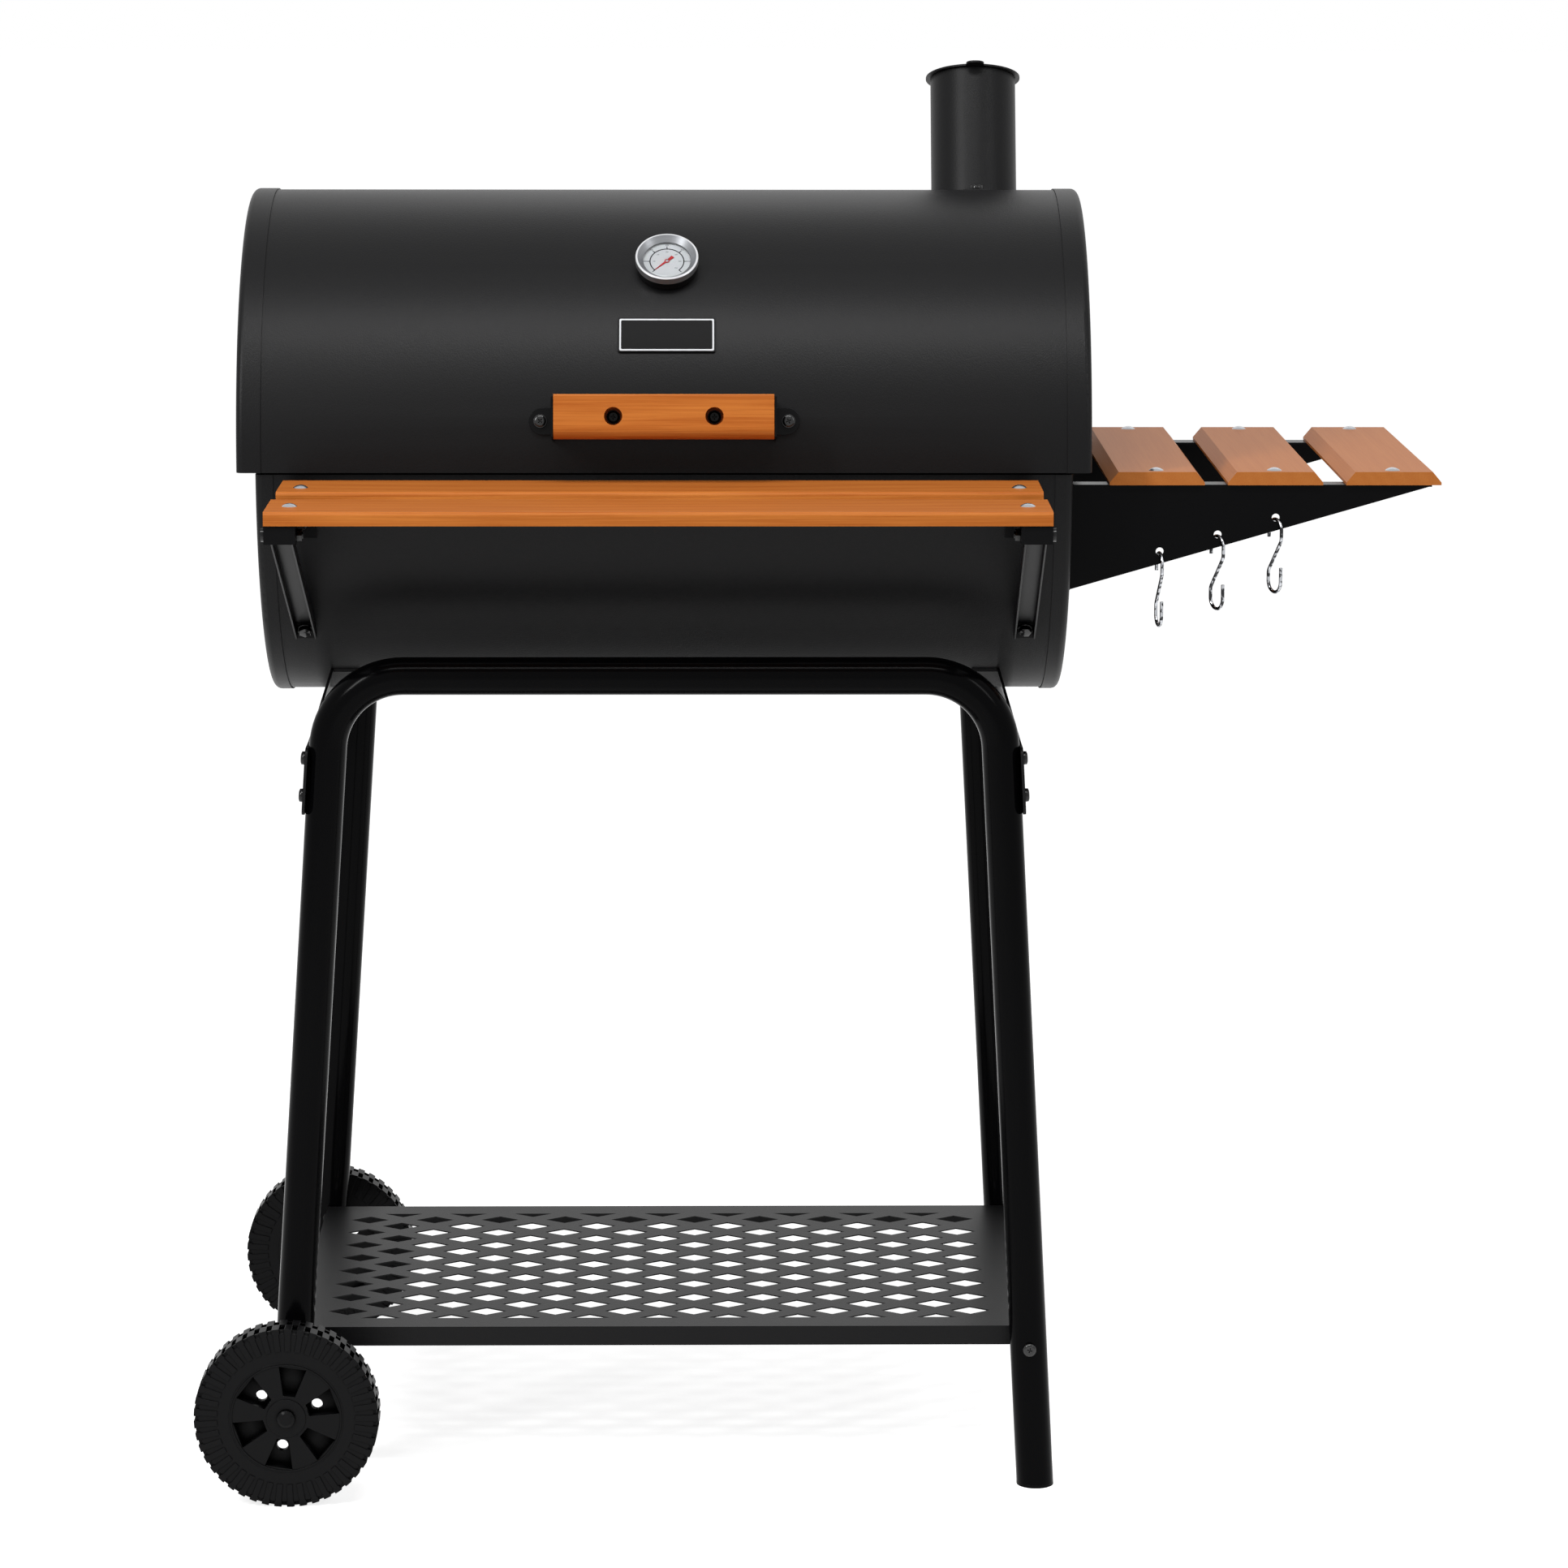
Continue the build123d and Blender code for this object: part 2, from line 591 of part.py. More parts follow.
riser_x = HANDLE_LENGTH / 2 + SIDE_PLAY + STRAP_SHEET / 2
riser_front = bar_back + HANDLE_DEPTH * 0.75
with BuildPart() as handle_strap:
    with BuildSketch(handle_seat.offset(bar_back - STRAP_SHEET)):
        Rectangle(2 * riser_x, STRAP_HEIGHT * 0.7)
        with GridLocations(HANDLE_HOLE_SPACING, 1, 2, 1):
            Circle(HOLE_R, mode=Mode.SUBTRACT)
    extrude(amount=STRAP_SHEET)
    for side in (-1, 1):
        with BuildSketch(bar_plane.offset(side * riser_x)):
            with Locations((-SHEET / 2, 0)):
                Rectangle(riser_front - SHEET / 2, STRAP_HEIGHT, align=(Align.MAX, Align.CENTER))
        extrude(amount=STRAP_SHEET / 2, both=True)
        with BuildSketch(handle_seat.offset(SHEET / 2)):
            with Locations((side * riser_x, 0)):
                SlotOverall(STRAP_FOOT * 2, STRAP_FOOT + LEAF_SHEET)
            with Locations((side * foot_x, 0)):
                Circle(HOLE_R, mode=Mode.SUBTRACT)
            with Locations((side * (riser_x - HANDLE_LENGTH / 2), 0)):
                Rectangle(HANDLE_LENGTH, HANDLE_LENGTH, mode=Mode.SUBTRACT)
        extrude(amount=STRAP_SHEET)
    with BuildSketch(SECTION):
        Circle(LID_SHELL_R)
    extrude(amount=HANDLE_LENGTH, both=True, mode=Mode.SUBTRACT)
save(handle_strap.part, "handle_strap")

foot_seat = handle_seat.offset(SHEET / 2 + STRAP_SHEET)
foot_grip = SHEET / 2 + STRAP_SHEET + SHEET
bar_screw_seat = handle_seat.offset(bar_back + HANDLE_DEPTH - HANDLE_HOLE_DEPTH)
bar_grip = HANDLE_DEPTH - HANDLE_HOLE_DEPTH + STRAP_SHEET
lid_bolts = [cap_pivot]
for seat in chimney_screws:
    lid_bolts.append(bolt(seat.offset(SIDE_PLAY / 2), 2 * SHEET + SIDE_PLAY))
for side in (-1, 1):
    lid_bolts.append(bolt(at(foot_seat, side * foot_x, 0), foot_grip + SIDE_PLAY))
    lid_bolts.append(bolt(at(bar_screw_seat, side * HANDLE_HOLE_SPACING / 2, 0), bar_grip))
save(group(lid_bolts), "lid_screws")


# ---------------------------------------------------------------- drum
damper_face = Plane(origin=(-DRUM_END, 0, DAMPER_Z), x_dir=(0, -1, 0), z_dir=(-1, 0, 0))
strut_seat = around(STRUT_ANGLE, DRUM_SHELL_R, 0)
tab_drop = FRONT_BOTTOM - ARM_HEIGHT - ARM_TAB / 2 - BARREL_Z
tab_seat = around(math.degrees(math.asin(tab_drop / DRUM_SHELL_R)), DRUM_SHELL_R, 0)
arm_xs = [FRONT_TABLE_X + side * ARM_X for side in (-1, 1)]
saddle_flange_x = {}
for side in (-1, 1):
    saddle_flange_x[side] = leg_x(side, SADDLE_BAND[1]) + side * (TUBE_R - SADDLE_LEAN)
saddle_bolt_angle = -90 + math.degrees(math.asin(SADDLE_CROWN * 0.7 / DRUM_SHELL_R))
bracket_bolts_z = (BRACKET_TOP - BRACKET_DEPTH * 0.2, BRACKET_TOP - BRACKET_DEPTH * 0.75)

drum_bolt_seats = []
for side, x in zip((-1, 1), arm_xs):
    drum_bolt_seats.append(at(strut_seat, side * STRUT_FOOT_X, 0))
    drum_bolt_seats.append(at(tab_seat, x, 0))
    for angle in (saddle_bolt_angle, -180 - saddle_bolt_angle):
        flange_centre = saddle_flange_x[side] - side * SADDLE_FLANGE / 2
        drum_bolt_seats.append(around(angle, DRUM_SHELL_R, flange_centre))

with BuildPart() as drum_shell:
    add(barrel_shell(DRUM_R, DRUM_LENGTH, DRUM_RIM, Keep.BOTTOM))
    for seat in drum_bolt_seats:
        with BuildSketch(seat.offset(SHEET)):
            Circle(HOLE_R)
        extrude(amount=-4 * SHEET, mode=Mode.SUBTRACT)
save(drum_shell.part, "drum_shell")

plain_end = barrel_end(DRUM_R, DRUM_LENGTH, DRUM_FLANGE, DRUM_RIM, Keep.BOTTOM)
bracket_wall = Plane(origin=(DRUM_END, 0, 0), x_dir=(0, 1, 0), z_dir=(1, 0, 0))
with BuildPart() as drum_end_right:
    add(plain_end)
    for side in (-1, 1):
        for z in bracket_bolts_z:
            with BuildSketch(bracket_wall):
                with Locations((side * (BRACKET_Y - BRACKET_FLANGE / 2), z)):
                    Circle(HOLE_R)
            extrude(amount=-3 * SHEET, mode=Mode.SUBTRACT)
save(drum_end_right.part, "drum_end_right")

with BuildPart() as drum_end_left:
    add(mirrored(plain_end))
    with BuildSketch(damper_face):
        with PolarLocations(DAMPER_CIRCLE, 4):
            Circle(DAMPER_HOLE_R)
        Circle(HOLE_R)
    extrude(amount=-3 * SHEET, mode=Mode.SUBTRACT)
save(drum_end_left.part, "drum_end_left")

damper_seat = damper_face.offset(SIDE_PLAY)
with BuildPart() as air_damper:
    with BuildSketch(damper_seat):
        Circle(DAMPER_R)
        with PolarLocations(DAMPER_CIRCLE, 4):
            Circle(DAMPER_HOLE_R, mode=Mode.SUBTRACT)
        Circle(BOLT_R + RUNNING_CLEARANCE, mode=Mode.SUBTRACT)
    extrude(amount=CAP_SHEET)
    # thumb tab folded outward at the front edge
    with BuildSketch(damper_seat):
        with Locations((DAMPER_R - CAP_SHEET, 0)):
            Rectangle(CAP_SHEET, 4 * BOLT_R)
    extrude(amount=4 * BOLT_R)
save(air_damper.part, "air_damper")
damper_pivot_seat = damper_seat.offset(CAP_SHEET + SIDE_PLAY)
damper_pivot = bolt(damper_pivot_seat, SIDE_PLAY * 2 + CAP_SHEET + SHEET)

# ---------------------------------------------------------------- front table
slat_bolts_x = [FRONT_TABLE_X + side * (ARM_X - ARM_BOLT_INSET) for side in (-1, 1)]


def front_slat(lines):
    """A front-table slat from its front edge, bolt line and back edge, its long edges rounded."""
    front, bolts, back = lines
    with BuildPart() as slat:
        with BuildSketch(Plane.XY.offset(FRONT_BOTTOM)):
            with Locations((FRONT_TABLE_X, front)):
                Rectangle(FRONT_TABLE_LENGTH, back - front, align=(Align.CENTER, Align.MIN))
            with Locations([(x, bolts) for x in slat_bolts_x]):
                Circle(HOLE_R, mode=Mode.SUBTRACT)
        extrude(amount=SLAT)
        fillet(slat.faces().sort_by(Axis.Z)[-1].edges().filter_by(Axis.X), SLAT_ROUND)
    return slat.part


save(front_slat(BACK_SLAT), "back_slat")
save(front_slat(FRONT_SLAT), "front_slat")

strut_bolt_z = FRONT_BOTTOM - ARM_HEIGHT * 0.6
strut_bolt_axis = Plane(origin=(0, STRUT_TOP_Y, strut_bolt_z), x_dir=(0, 1, 0), z_dir=(1, 0, 0))
with BuildPart() as table_arms:
    for x in arm_xs:
        with BuildSketch(Plane.XY.offset(FRONT_BOTTOM)):
            with Locations((x, ARM_FRONT)):
                Rectangle(ARM_WIDTH, -ARM_FRONT, align=(Align.CENTER, Align.MIN))
        extrude(amount=-ARM_HEIGHT)
        with BuildSketch(Plane.XY.offset(FRONT_BOTTOM - ARM_SHEET)):
            with Locations((x, ARM_FRONT + ARM_SHEET)):
                Rectangle(ARM_WIDTH - 2 * ARM_SHEET, -ARM_FRONT, align=(Align.CENTER, Align.MIN))
        extrude(amount=-ARM_HEIGHT, mode=Mode.SUBTRACT)
    with BuildSketch(Plane.XY.offset(FRONT_BOTTOM)):
        with Locations([(x, slat[1]) for x in slat_bolts_x for slat in (BACK_SLAT, FRONT_SLAT)]):
            Circle(HOLE_R)
    extrude(amount=-ARM_SHEET, mode=Mode.SUBTRACT)
    with BuildSketch(strut_bolt_axis):
        Circle(HOLE_R)
    extrude(amount=FRONT_TABLE_LENGTH, both=True, mode=Mode.SUBTRACT)
    with BuildSketch(SECTION):
        Circle(DRUM_SHELL_R)
    extrude(amount=DRUM_LENGTH / 2, both=True, mode=Mode.SUBTRACT)
    for x in arm_xs:
        with BuildSketch(SECTION.offset(x)):
            Circle(DRUM_SHELL_R + LEAF_SHEET)
            Circle(DRUM_SHELL_R, mode=Mode.SUBTRACT)
            with Locations((-DRUM_R, FRONT_BOTTOM - ARM_SHEET - BARREL_Z)):
                Rectangle(DRUM_R, ARM_HEIGHT + ARM_TAB, align=(Align.CENTER, Align.MAX), mode=Mode.INTERSECT)
        extrude(amount=ARM_WIDTH / 2, both=True)
        with BuildSketch(at(tab_seat, x, 0, -SHEET)):
            Circle(HOLE_R)
        extrude(amount=3 * LEAF_SHEET, mode=Mode.SUBTRACT)
save(table_arms.part, "table_arms")

# Struts: a channel open to the front and below, inside the arm at its top, a foot on the drum
strut_foot_y = strut_seat.origin.Y
strut_foot_z = strut_seat.origin.Z
struts = []
for side, x in zip((-1, 1), arm_xs):
    foot = Vector(side * STRUT_FOOT_X, strut_foot_y, strut_foot_z) + strut_seat.z_dir * LEAF_SHEET
    top = Vector(x, STRUT_TOP_Y, strut_bolt_z)
    along = (top - foot).normalized()
    across = Vector(1, 0, 0)
    channel_plane = Plane(origin=foot, x_dir=across - along * across.dot(along), z_dir=along)
    with BuildPart() as strut:
        with BuildSketch(channel_plane):
            Rectangle(STRUT_WIDTH, STRUT_FLANGE + ARM_SHEET)
            with Locations((0, -ARM_SHEET)):
                Rectangle(STRUT_WIDTH - 2 * ARM_SHEET, STRUT_FLANGE + ARM_SHEET, mode=Mode.SUBTRACT)
        extrude(amount=(top - foot).length + STRUT_FLANGE / 2)
        extrude(strut.faces().sort_by(Axis(foot, along))[0], amount=STRUT_WIDTH, dir=-along)
        split(bisect_by=Plane.XY.offset(FRONT_BOTTOM - ARM_SHEET - SIDE_PLAY), keep=Keep.BOTTOM)
        with BuildSketch(SECTION):
            Circle(DRUM_SHELL_R + LEAF_SHEET / 2)
        extrude(amount=DRUM_LENGTH / 2, both=True, mode=Mode.SUBTRACT)
        # foot bent flat against the drum
        with BuildSketch(SECTION.offset(side * STRUT_FOOT_X)):
            Circle(DRUM_SHELL_R + LEAF_SHEET)
            Circle(DRUM_SHELL_R, mode=Mode.SUBTRACT)
            with Locations((strut_foot_y, strut_foot_z - BARREL_Z)):
                Rectangle(STRUT_WIDTH * 1.3, STRUT_WIDTH * 1.3, rotation=STRUT_ANGLE, mode=Mode.INTERSECT)
        extrude(amount=STRUT_WIDTH / 2, both=True)
        with BuildSketch(at(strut_seat, side * STRUT_FOOT_X, 0, -SHEET)):
            Circle(HOLE_R)
        extrude(amount=3 * LEAF_SHEET, mode=Mode.SUBTRACT)
        with BuildSketch(at(strut_seat, side * STRUT_FOOT_X, 0, LEAF_SHEET)):
            Circle(NUT_R + HOLE_CLEARANCE)
        extrude(amount=STRUT_WIDTH * 2, mode=Mode.SUBTRACT)
        with BuildSketch(strut_bolt_axis):
            Circle(HOLE_R)
        extrude(amount=FRONT_TABLE_LENGTH, both=True, mode=Mode.SUBTRACT)
    struts.append(strut.part)
save(group(struts), "table_struts")

table_bolts = []
for x in slat_bolts_x:
    for slat in (BACK_SLAT, FRONT_SLAT):
        seat = Plane(origin=(x, slat[1], TABLE_TOP))
        table_bolts.append(bolt(seat, SLAT + ARM_SHEET, DOME_R, DOME, domed=True))

# ---------------------------------------------------------------- side table
side_slats = []
for i, x in enumerate(SIDE_SLATS_X):
    with BuildPart() as side_slat:
        with BuildSketch(Plane.XY.offset(BRACKET_TOP)):
            with Locations((x, 0)):
                Rectangle(SIDE_SLAT_WIDTH, SIDE_SLAT_LENGTH)
        extrude(amount=SLAT)
        long_edges = side_slat.faces().sort_by(Axis.Z)[-1].edges().filter_by(Axis.Y)
        chamfer(long_edges, SLAT * 0.8, SIDE_BEVEL)
        with BuildSketch(Plane.XY.offset(SIDE_TOP)):
            with Locations((x, -SIDE_BOLT_Y), (x, SIDE_BOLT_Y)):
                Circle(HOLE_R)
        extrude(amount=-SLAT, mode=Mode.SUBTRACT)
    save(side_slat.part, f"side_slat_{i + 1}")

wall_x = DRUM_END
bracket_low = BRACKET_TOP - BRACKET_DEPTH


def hook_hole_z(x):
    """Height of a hook hole, just above the bracket's sloping lower edge."""
    return bracket_low + BRACKET_SLOPE * (x - wall_x) + HOOK_HOLE_EDGE


def side_bracket(side):
    """A triangular side-table bracket with a top flange and a wall flange, both turned inward."""
    inner = side * (BRACKET_Y - BRACKET_SHEET / 2)
    tip_z = min(bracket_low + BRACKET_SLOPE * (BRACKET_TIP_X - wall_x), BRACKET_TOP - SHEET)
    flange = BRACKET_FLANGE + BRACKET_SHEET
    middle = side * (BRACKET_Y + BRACKET_SHEET / 2 - flange / 2)
    with BuildPart() as bracket:
        with BuildSketch(Plane(origin=(0, inner, 0), x_dir=(1, 0, 0), z_dir=(0, -1, 0))):
            with BuildLine():
                Polyline(
                    (wall_x, bracket_low), (BRACKET_TIP_X, tip_z),
                    (BRACKET_TIP_X, BRACKET_TOP), (wall_x, BRACKET_TOP),
                    close=True,
                )
            make_face()
            if side < 0:
                for x in HOOK_HOLES_X:
                    with Locations((x, hook_hole_z(x))):
                        Circle(HOOK_HOLE_R, mode=Mode.SUBTRACT)
        extrude(amount=-side * BRACKET_SHEET)
        with BuildSketch(Plane.XY.offset(BRACKET_TOP)):
            with Locations((wall_x, middle)):
                Rectangle(BRACKET_TIP_X - wall_x, flange, align=(Align.MIN, Align.CENTER))
            for x in SIDE_SLATS_X:
                with Locations((x, side * SIDE_BOLT_Y)):
                    Circle(HOLE_R, mode=Mode.SUBTRACT)
        extrude(amount=-BRACKET_SHEET)
        with BuildSketch(bracket_wall):
            with Locations((middle, BRACKET_TOP)):
                Rectangle(flange, BRACKET_DEPTH, align=(Align.CENTER, Align.MAX))
            for z in bracket_bolts_z:
                with Locations((side * (BRACKET_Y - BRACKET_FLANGE / 2), z)):
                    Circle(HOLE_R, mode=Mode.SUBTRACT)
        extrude(amount=BRACKET_SHEET)
    return bracket.part


save(side_bracket(-1), "side_bracket_front")
save(side_bracket(1), "side_bracket_rear")

for x in SIDE_SLATS_X:
    for y in (-SIDE_BOLT_Y, SIDE_BOLT_Y):
        seat = Plane(origin=(x, y, SIDE_TOP))
        table_bolts.append(bolt(seat, SLAT + BRACKET_SHEET, DOME_R, DOME, domed=True))
save(group(table_bolts), "table_bolts")

# ---------------------------------------------------------------- S-hooks
# The wire's path lies in a plane turned about the upright: local x runs forward, local y up,
# from the top of the upper arch, which passes through the bracket's hole
for i, (x, turn) in enumerate(zip(HOOK_HOLES_X, HOOK_TURNS)):
    arch_top = hook_hole_z(x) - (HOOK_HOLE_R - HOOK_WIRE_R - HOOK_PLAY)
    angle = math.radians(turn)
    forward = Vector(math.sin(angle), -math.cos(angle), 0)
    hook_plane = Plane(origin=(x, -BRACKET_Y, arch_top), x_dir=forward, z_dir=forward.cross(Vector(0, 0, 1)))
    arch_z = -HOOK_ARCH_R
    low_z = -HOOK_DROP + HOOK_ARCH_R + HOOK_WIRE_R
    with BuildPart() as hook:
        with BuildLine(hook_plane) as wire:
            tail = Line((-HOOK_ARCH_R, arch_z - HOOK_TAIL + HOOK_ARCH_R), (-HOOK_ARCH_R, arch_z))
            upper = ThreePointArc(tail @ 1, (0, 0), (HOOK_ARCH_R, arch_z))
            spine = FilletPolyline(
                upper @ 1, (HOOK_ARCH_R, arch_z - HOOK_ARCH_R * 0.9),
                (-HOOK_ARCH_R, low_z + HOOK_ARCH_R * 0.9), (-HOOK_ARCH_R, low_z),
                radius=HOOK_ARCH_R * 0.8,
            )
            lower = ThreePointArc(spine @ 1, (0, low_z - HOOK_ARCH_R), (HOOK_ARCH_R, low_z))
            tip = Line(lower @ 1, (HOOK_ARCH_R, low_z + HOOK_TIP - HOOK_ARCH_R))
        with BuildSketch(Plane(origin=wire.line @ 0, z_dir=wire.line % 0)):
            Circle(HOOK_WIRE_R)
        sweep(path=wire.line)
    save(hook.part, f"hook_{i + 1}")

# ---------------------------------------------------------------- cart
def tube_along(path_plane, points, radius):
    """A round tube swept along straight runs joined by one bend, with a narrower spigot at its end."""
    with BuildPart() as tube:
        with BuildLine(path_plane) as centre_line:
            FilletPolyline(*points, radius=radius)
        with BuildSketch(Plane(origin=centre_line.line @ 0, z_dir=centre_line.line % 0)):
            Circle(TUBE_R)
            Circle(TUBE_R - TUBE_WALL, mode=Mode.SUBTRACT)
        sweep(path=centre_line.line)
        end_plane = Plane(origin=centre_line.line @ 1, z_dir=centre_line.line % 1)
        with BuildSketch(end_plane.offset(-TUBE_WALL)):
            Circle(TUBE_R - TUBE_WALL - RUNNING_CLEARANCE)
            Circle(TUBE_R - 2 * TUBE_WALL, mode=Mode.SUBTRACT)
        extrude(amount=SPIGOT)
        with BuildSketch(end_plane.offset(-TUBE_WALL)):
            Circle(TUBE_R - TUBE_WALL)
            Circle(TUBE_R - 2 * TUBE_WALL, mode=Mode.SUBTRACT)
        extrude(amount=TUBE_WALL)
    return tube.part


def leg_plane(side, y, z):
    """A plane across a leg at height `z`, its normal running down the leg."""
    down = Vector(leg_x(side, 0) - leg_x(side, z), 0, -z)
    return Plane(origin=(leg_x(side, z), y, z), x_dir=(0, 1, 0), z_dir=down)


def saddle_seat(side, y, z):
    """A plane on the outer face of a leg at height `z`, its normal pointing away from the cart."""
    lean = LEG_LEAN_LEFT if side < 0 else LEG_LEAN_RIGHT
    outward = Vector(side, 0, lean).normalized()
    return Plane(origin=Vector(leg_x(side, z), y, z) + outward * TUBE_R, x_dir=(0, 1, 0), z_dir=outward)


wheel_legs = []
foot_legs = []
foot_caps = []
for end, y in (("front", -LEG_Y), ("rear", LEG_Y)):
    arch_plane = Plane(origin=(0, y, 0), x_dir=(1, 0, 0), z_dir=(0, -1, 0))
    for hand, side in (("left", -1), ("right", 1)):
        points = ((0, ARCH_Z), (side * ARCH_X, ARCH_Z), (leg_x(side, JOINT_Z), JOINT_Z))
        with BuildPart() as arch:
            add(tube_along(arch_plane, points, ARCH_BEND))
            for z in SADDLE_SCREWS_Z:
                with BuildSketch(saddle_seat(side, y, z)):
                    Circle(HOLE_R)
                extrude(amount=-2 * TUBE_WALL, mode=Mode.SUBTRACT)
        save(arch.part, f"arch_{end}_{hand}")
        bottom = WHEEL_LEG_END if side < 0 else FOOT_CAP
        with BuildPart() as leg:
            with BuildSketch(leg_plane(side, y, JOINT_Z)):
                Circle(TUBE_R)
                Circle(TUBE_R - TUBE_WALL, mode=Mode.SUBTRACT)
            extrude(amount=JOINT_Z + TUBE_R)
            split(bisect_by=Plane.XY.offset(bottom), keep=Keep.TOP)
            with BuildSketch(arch_plane):
                with Locations((leg_x(side, SHELF_SCREW_Z), SHELF_SCREW_Z)):
                    Circle(HOLE_R)
                if side < 0:
                    with Locations((WHEEL_X, WHEEL_R)):
                        Circle(AXLE_R + RUNNING_CLEARANCE)
            extrude(amount=2 * TUBE_R, both=True, mode=Mode.SUBTRACT)
        (wheel_legs if side < 0 else foot_legs).append(leg.part)
        if side > 0:
            with BuildPart() as cap:
                with BuildSketch(leg_plane(side, y, FOOT_CAP * 4)):
                    Circle(TUBE_R)
                extrude(amount=FOOT_CAP * 5)
                split(bisect_by=Plane.XY.offset(FOOT_CAP), keep=Keep.BOTTOM)
                with BuildSketch(leg_plane(side, y, FOOT_CAP * 4)):
                    Circle(TUBE_R - TUBE_WALL - RUNNING_CLEARANCE)
                extrude(amount=FOOT_CAP * 4)
                split(bisect_by=Plane.XY, keep=Keep.TOP)
            foot_caps.append(cap.part)
save(group(wheel_legs), "wheel_legs")
save(group(foot_legs), "foot_legs")
save(group(foot_caps), "foot_caps")

# Saddles: a band screwed to both legs of a side, a crown that leans in under the drum and a
# flange that follows the drum and is bolted to it
cart_screws = []
frame_bolts = [damper_pivot]
for hand, side in (("left", -1), ("right", 1)):
    low, high = SADDLE_BAND
    band_plane = saddle_seat(side, 0, low)
    up = band_plane.z_dir.cross(Vector(0, 1, 0)) * side
    up = up if up.Z > 0 else -up
    slope_length = (high - low) / up.Z
    band = Plane(origin=band_plane.origin, x_dir=(0, 1, 0), z_dir=band_plane.z_dir)
    grow = 1 if band.y_dir.Z > 0 else -1
    shoulder = band_plane.origin + up * slope_length
    crown_z = BARREL_Z - math.sqrt(DRUM_SHELL_R**2 - SADDLE_CROWN**2)
    crown = Vector(shoulder.X - side * SADDLE_LEAN, 0, crown_z)
    crown_up = (crown - shoulder).normalized()
    crown_length = (crown - shoulder).length
    crown_normal = crown_up.cross(Vector(0, 1, 0))
    crown_normal = crown_normal if crown_normal.X * side > 0 else -crown_normal
    crown_plane = Plane(origin=shoulder, x_dir=(0, 1, 0), z_dir=crown_normal)
    rise = crown_length * (1 if crown_plane.y_dir.Z > 0 else -1)
    lap = math.copysign(2 * SADDLE_SHEET, rise)
    with BuildPart() as saddle:
        with BuildSketch(band) as band_outline:
            with Locations((0, grow * slope_length / 2)):
                Rectangle(2 * SADDLE_HALF, slope_length)
            fillet(band_outline.vertices(), SADDLE_SCREW_EDGE)
            for y in (-LEG_Y, LEG_Y):
                for z in SADDLE_SCREWS_Z:
                    with Locations((y, grow * (z - low) / up.Z)):
                        Circle(HOLE_R, mode=Mode.SUBTRACT)
        extrude(amount=SADDLE_SHEET)
        with BuildSketch(crown_plane):
            with BuildLine():
                Polyline(
                    (-SADDLE_SHOULDER, -lap), (SADDLE_SHOULDER, -lap),
                    (SADDLE_CROWN, rise), (-SADDLE_CROWN, rise),
                    close=True,
                )
            make_face()
        extrude(amount=SADDLE_SHEET)
        with BuildSketch(SECTION):
            Circle(DRUM_SHELL_R)
        extrude(amount=DRUM_LENGTH / 2, both=True, mode=Mode.SUBTRACT)
        # flange against the drum, running inward from the crown
        with BuildSketch(SECTION.offset(crown.X + side * SADDLE_SHEET / 2)):
            Circle(DRUM_SHELL_R + SADDLE_SHEET)
            Circle(DRUM_SHELL_R, mode=Mode.SUBTRACT)
            with Locations((0, 0)):
                Rectangle(2 * SADDLE_CROWN, 2 * DRUM_R, align=(Align.CENTER, Align.MAX), mode=Mode.INTERSECT)
        extrude(amount=-side * (SADDLE_FLANGE + SADDLE_SHEET))
        for angle in (saddle_bolt_angle, -180 - saddle_bolt_angle):
            seat = around(angle, DRUM_SHELL_R, saddle_flange_x[side] - side * SADDLE_FLANGE / 2)
            with BuildSketch(seat.offset(-SHEET)):
                Circle(HOLE_R)
            extrude(amount=3 * SADDLE_SHEET, mode=Mode.SUBTRACT)
            frame_bolts.append(bolt(seat.offset(SADDLE_SHEET), SADDLE_SHEET + SHEET))
    save(saddle.part, f"saddle_{hand}")
    for y in (-LEG_Y, LEG_Y):
        for z in SADDLE_SCREWS_Z:
            seat = saddle_seat(side, y, z).offset(SADDLE_SHEET)
            cart_screws.append(bolt(seat, SADDLE_SHEET + TUBE_WALL, nut=False))

for side in (-1, 1):
    strut_foot = at(strut_seat, side * STRUT_FOOT_X, 0, LEAF_SHEET)
    frame_bolts.append(bolt(strut_foot, LEAF_SHEET + SHEET, NUT_R))
    x = FRONT_TABLE_X + side * ARM_X
    outer_wall = strut_bolt_axis.offset(x + side * ARM_WIDTH / 2)
    seat = Plane(outer_wall.origin, outer_wall.x_dir, (side, 0, 0))
    frame_bolts.append(bolt(seat, ARM_WIDTH))
    frame_bolts.append(bolt(at(tab_seat, x, 0, LEAF_SHEET), LEAF_SHEET + SHEET))
    for z in bracket_bolts_z:
        origin = (DRUM_END + BRACKET_SHEET, side * (BRACKET_Y - BRACKET_FLANGE / 2), z)
        seat = Plane(origin=origin, x_dir=(0, 1, 0), z_dir=(1, 0, 0))
        frame_bolts.append(bolt(seat, BRACKET_SHEET + SHEET))
save(group(frame_bolts), "frame_bolts")

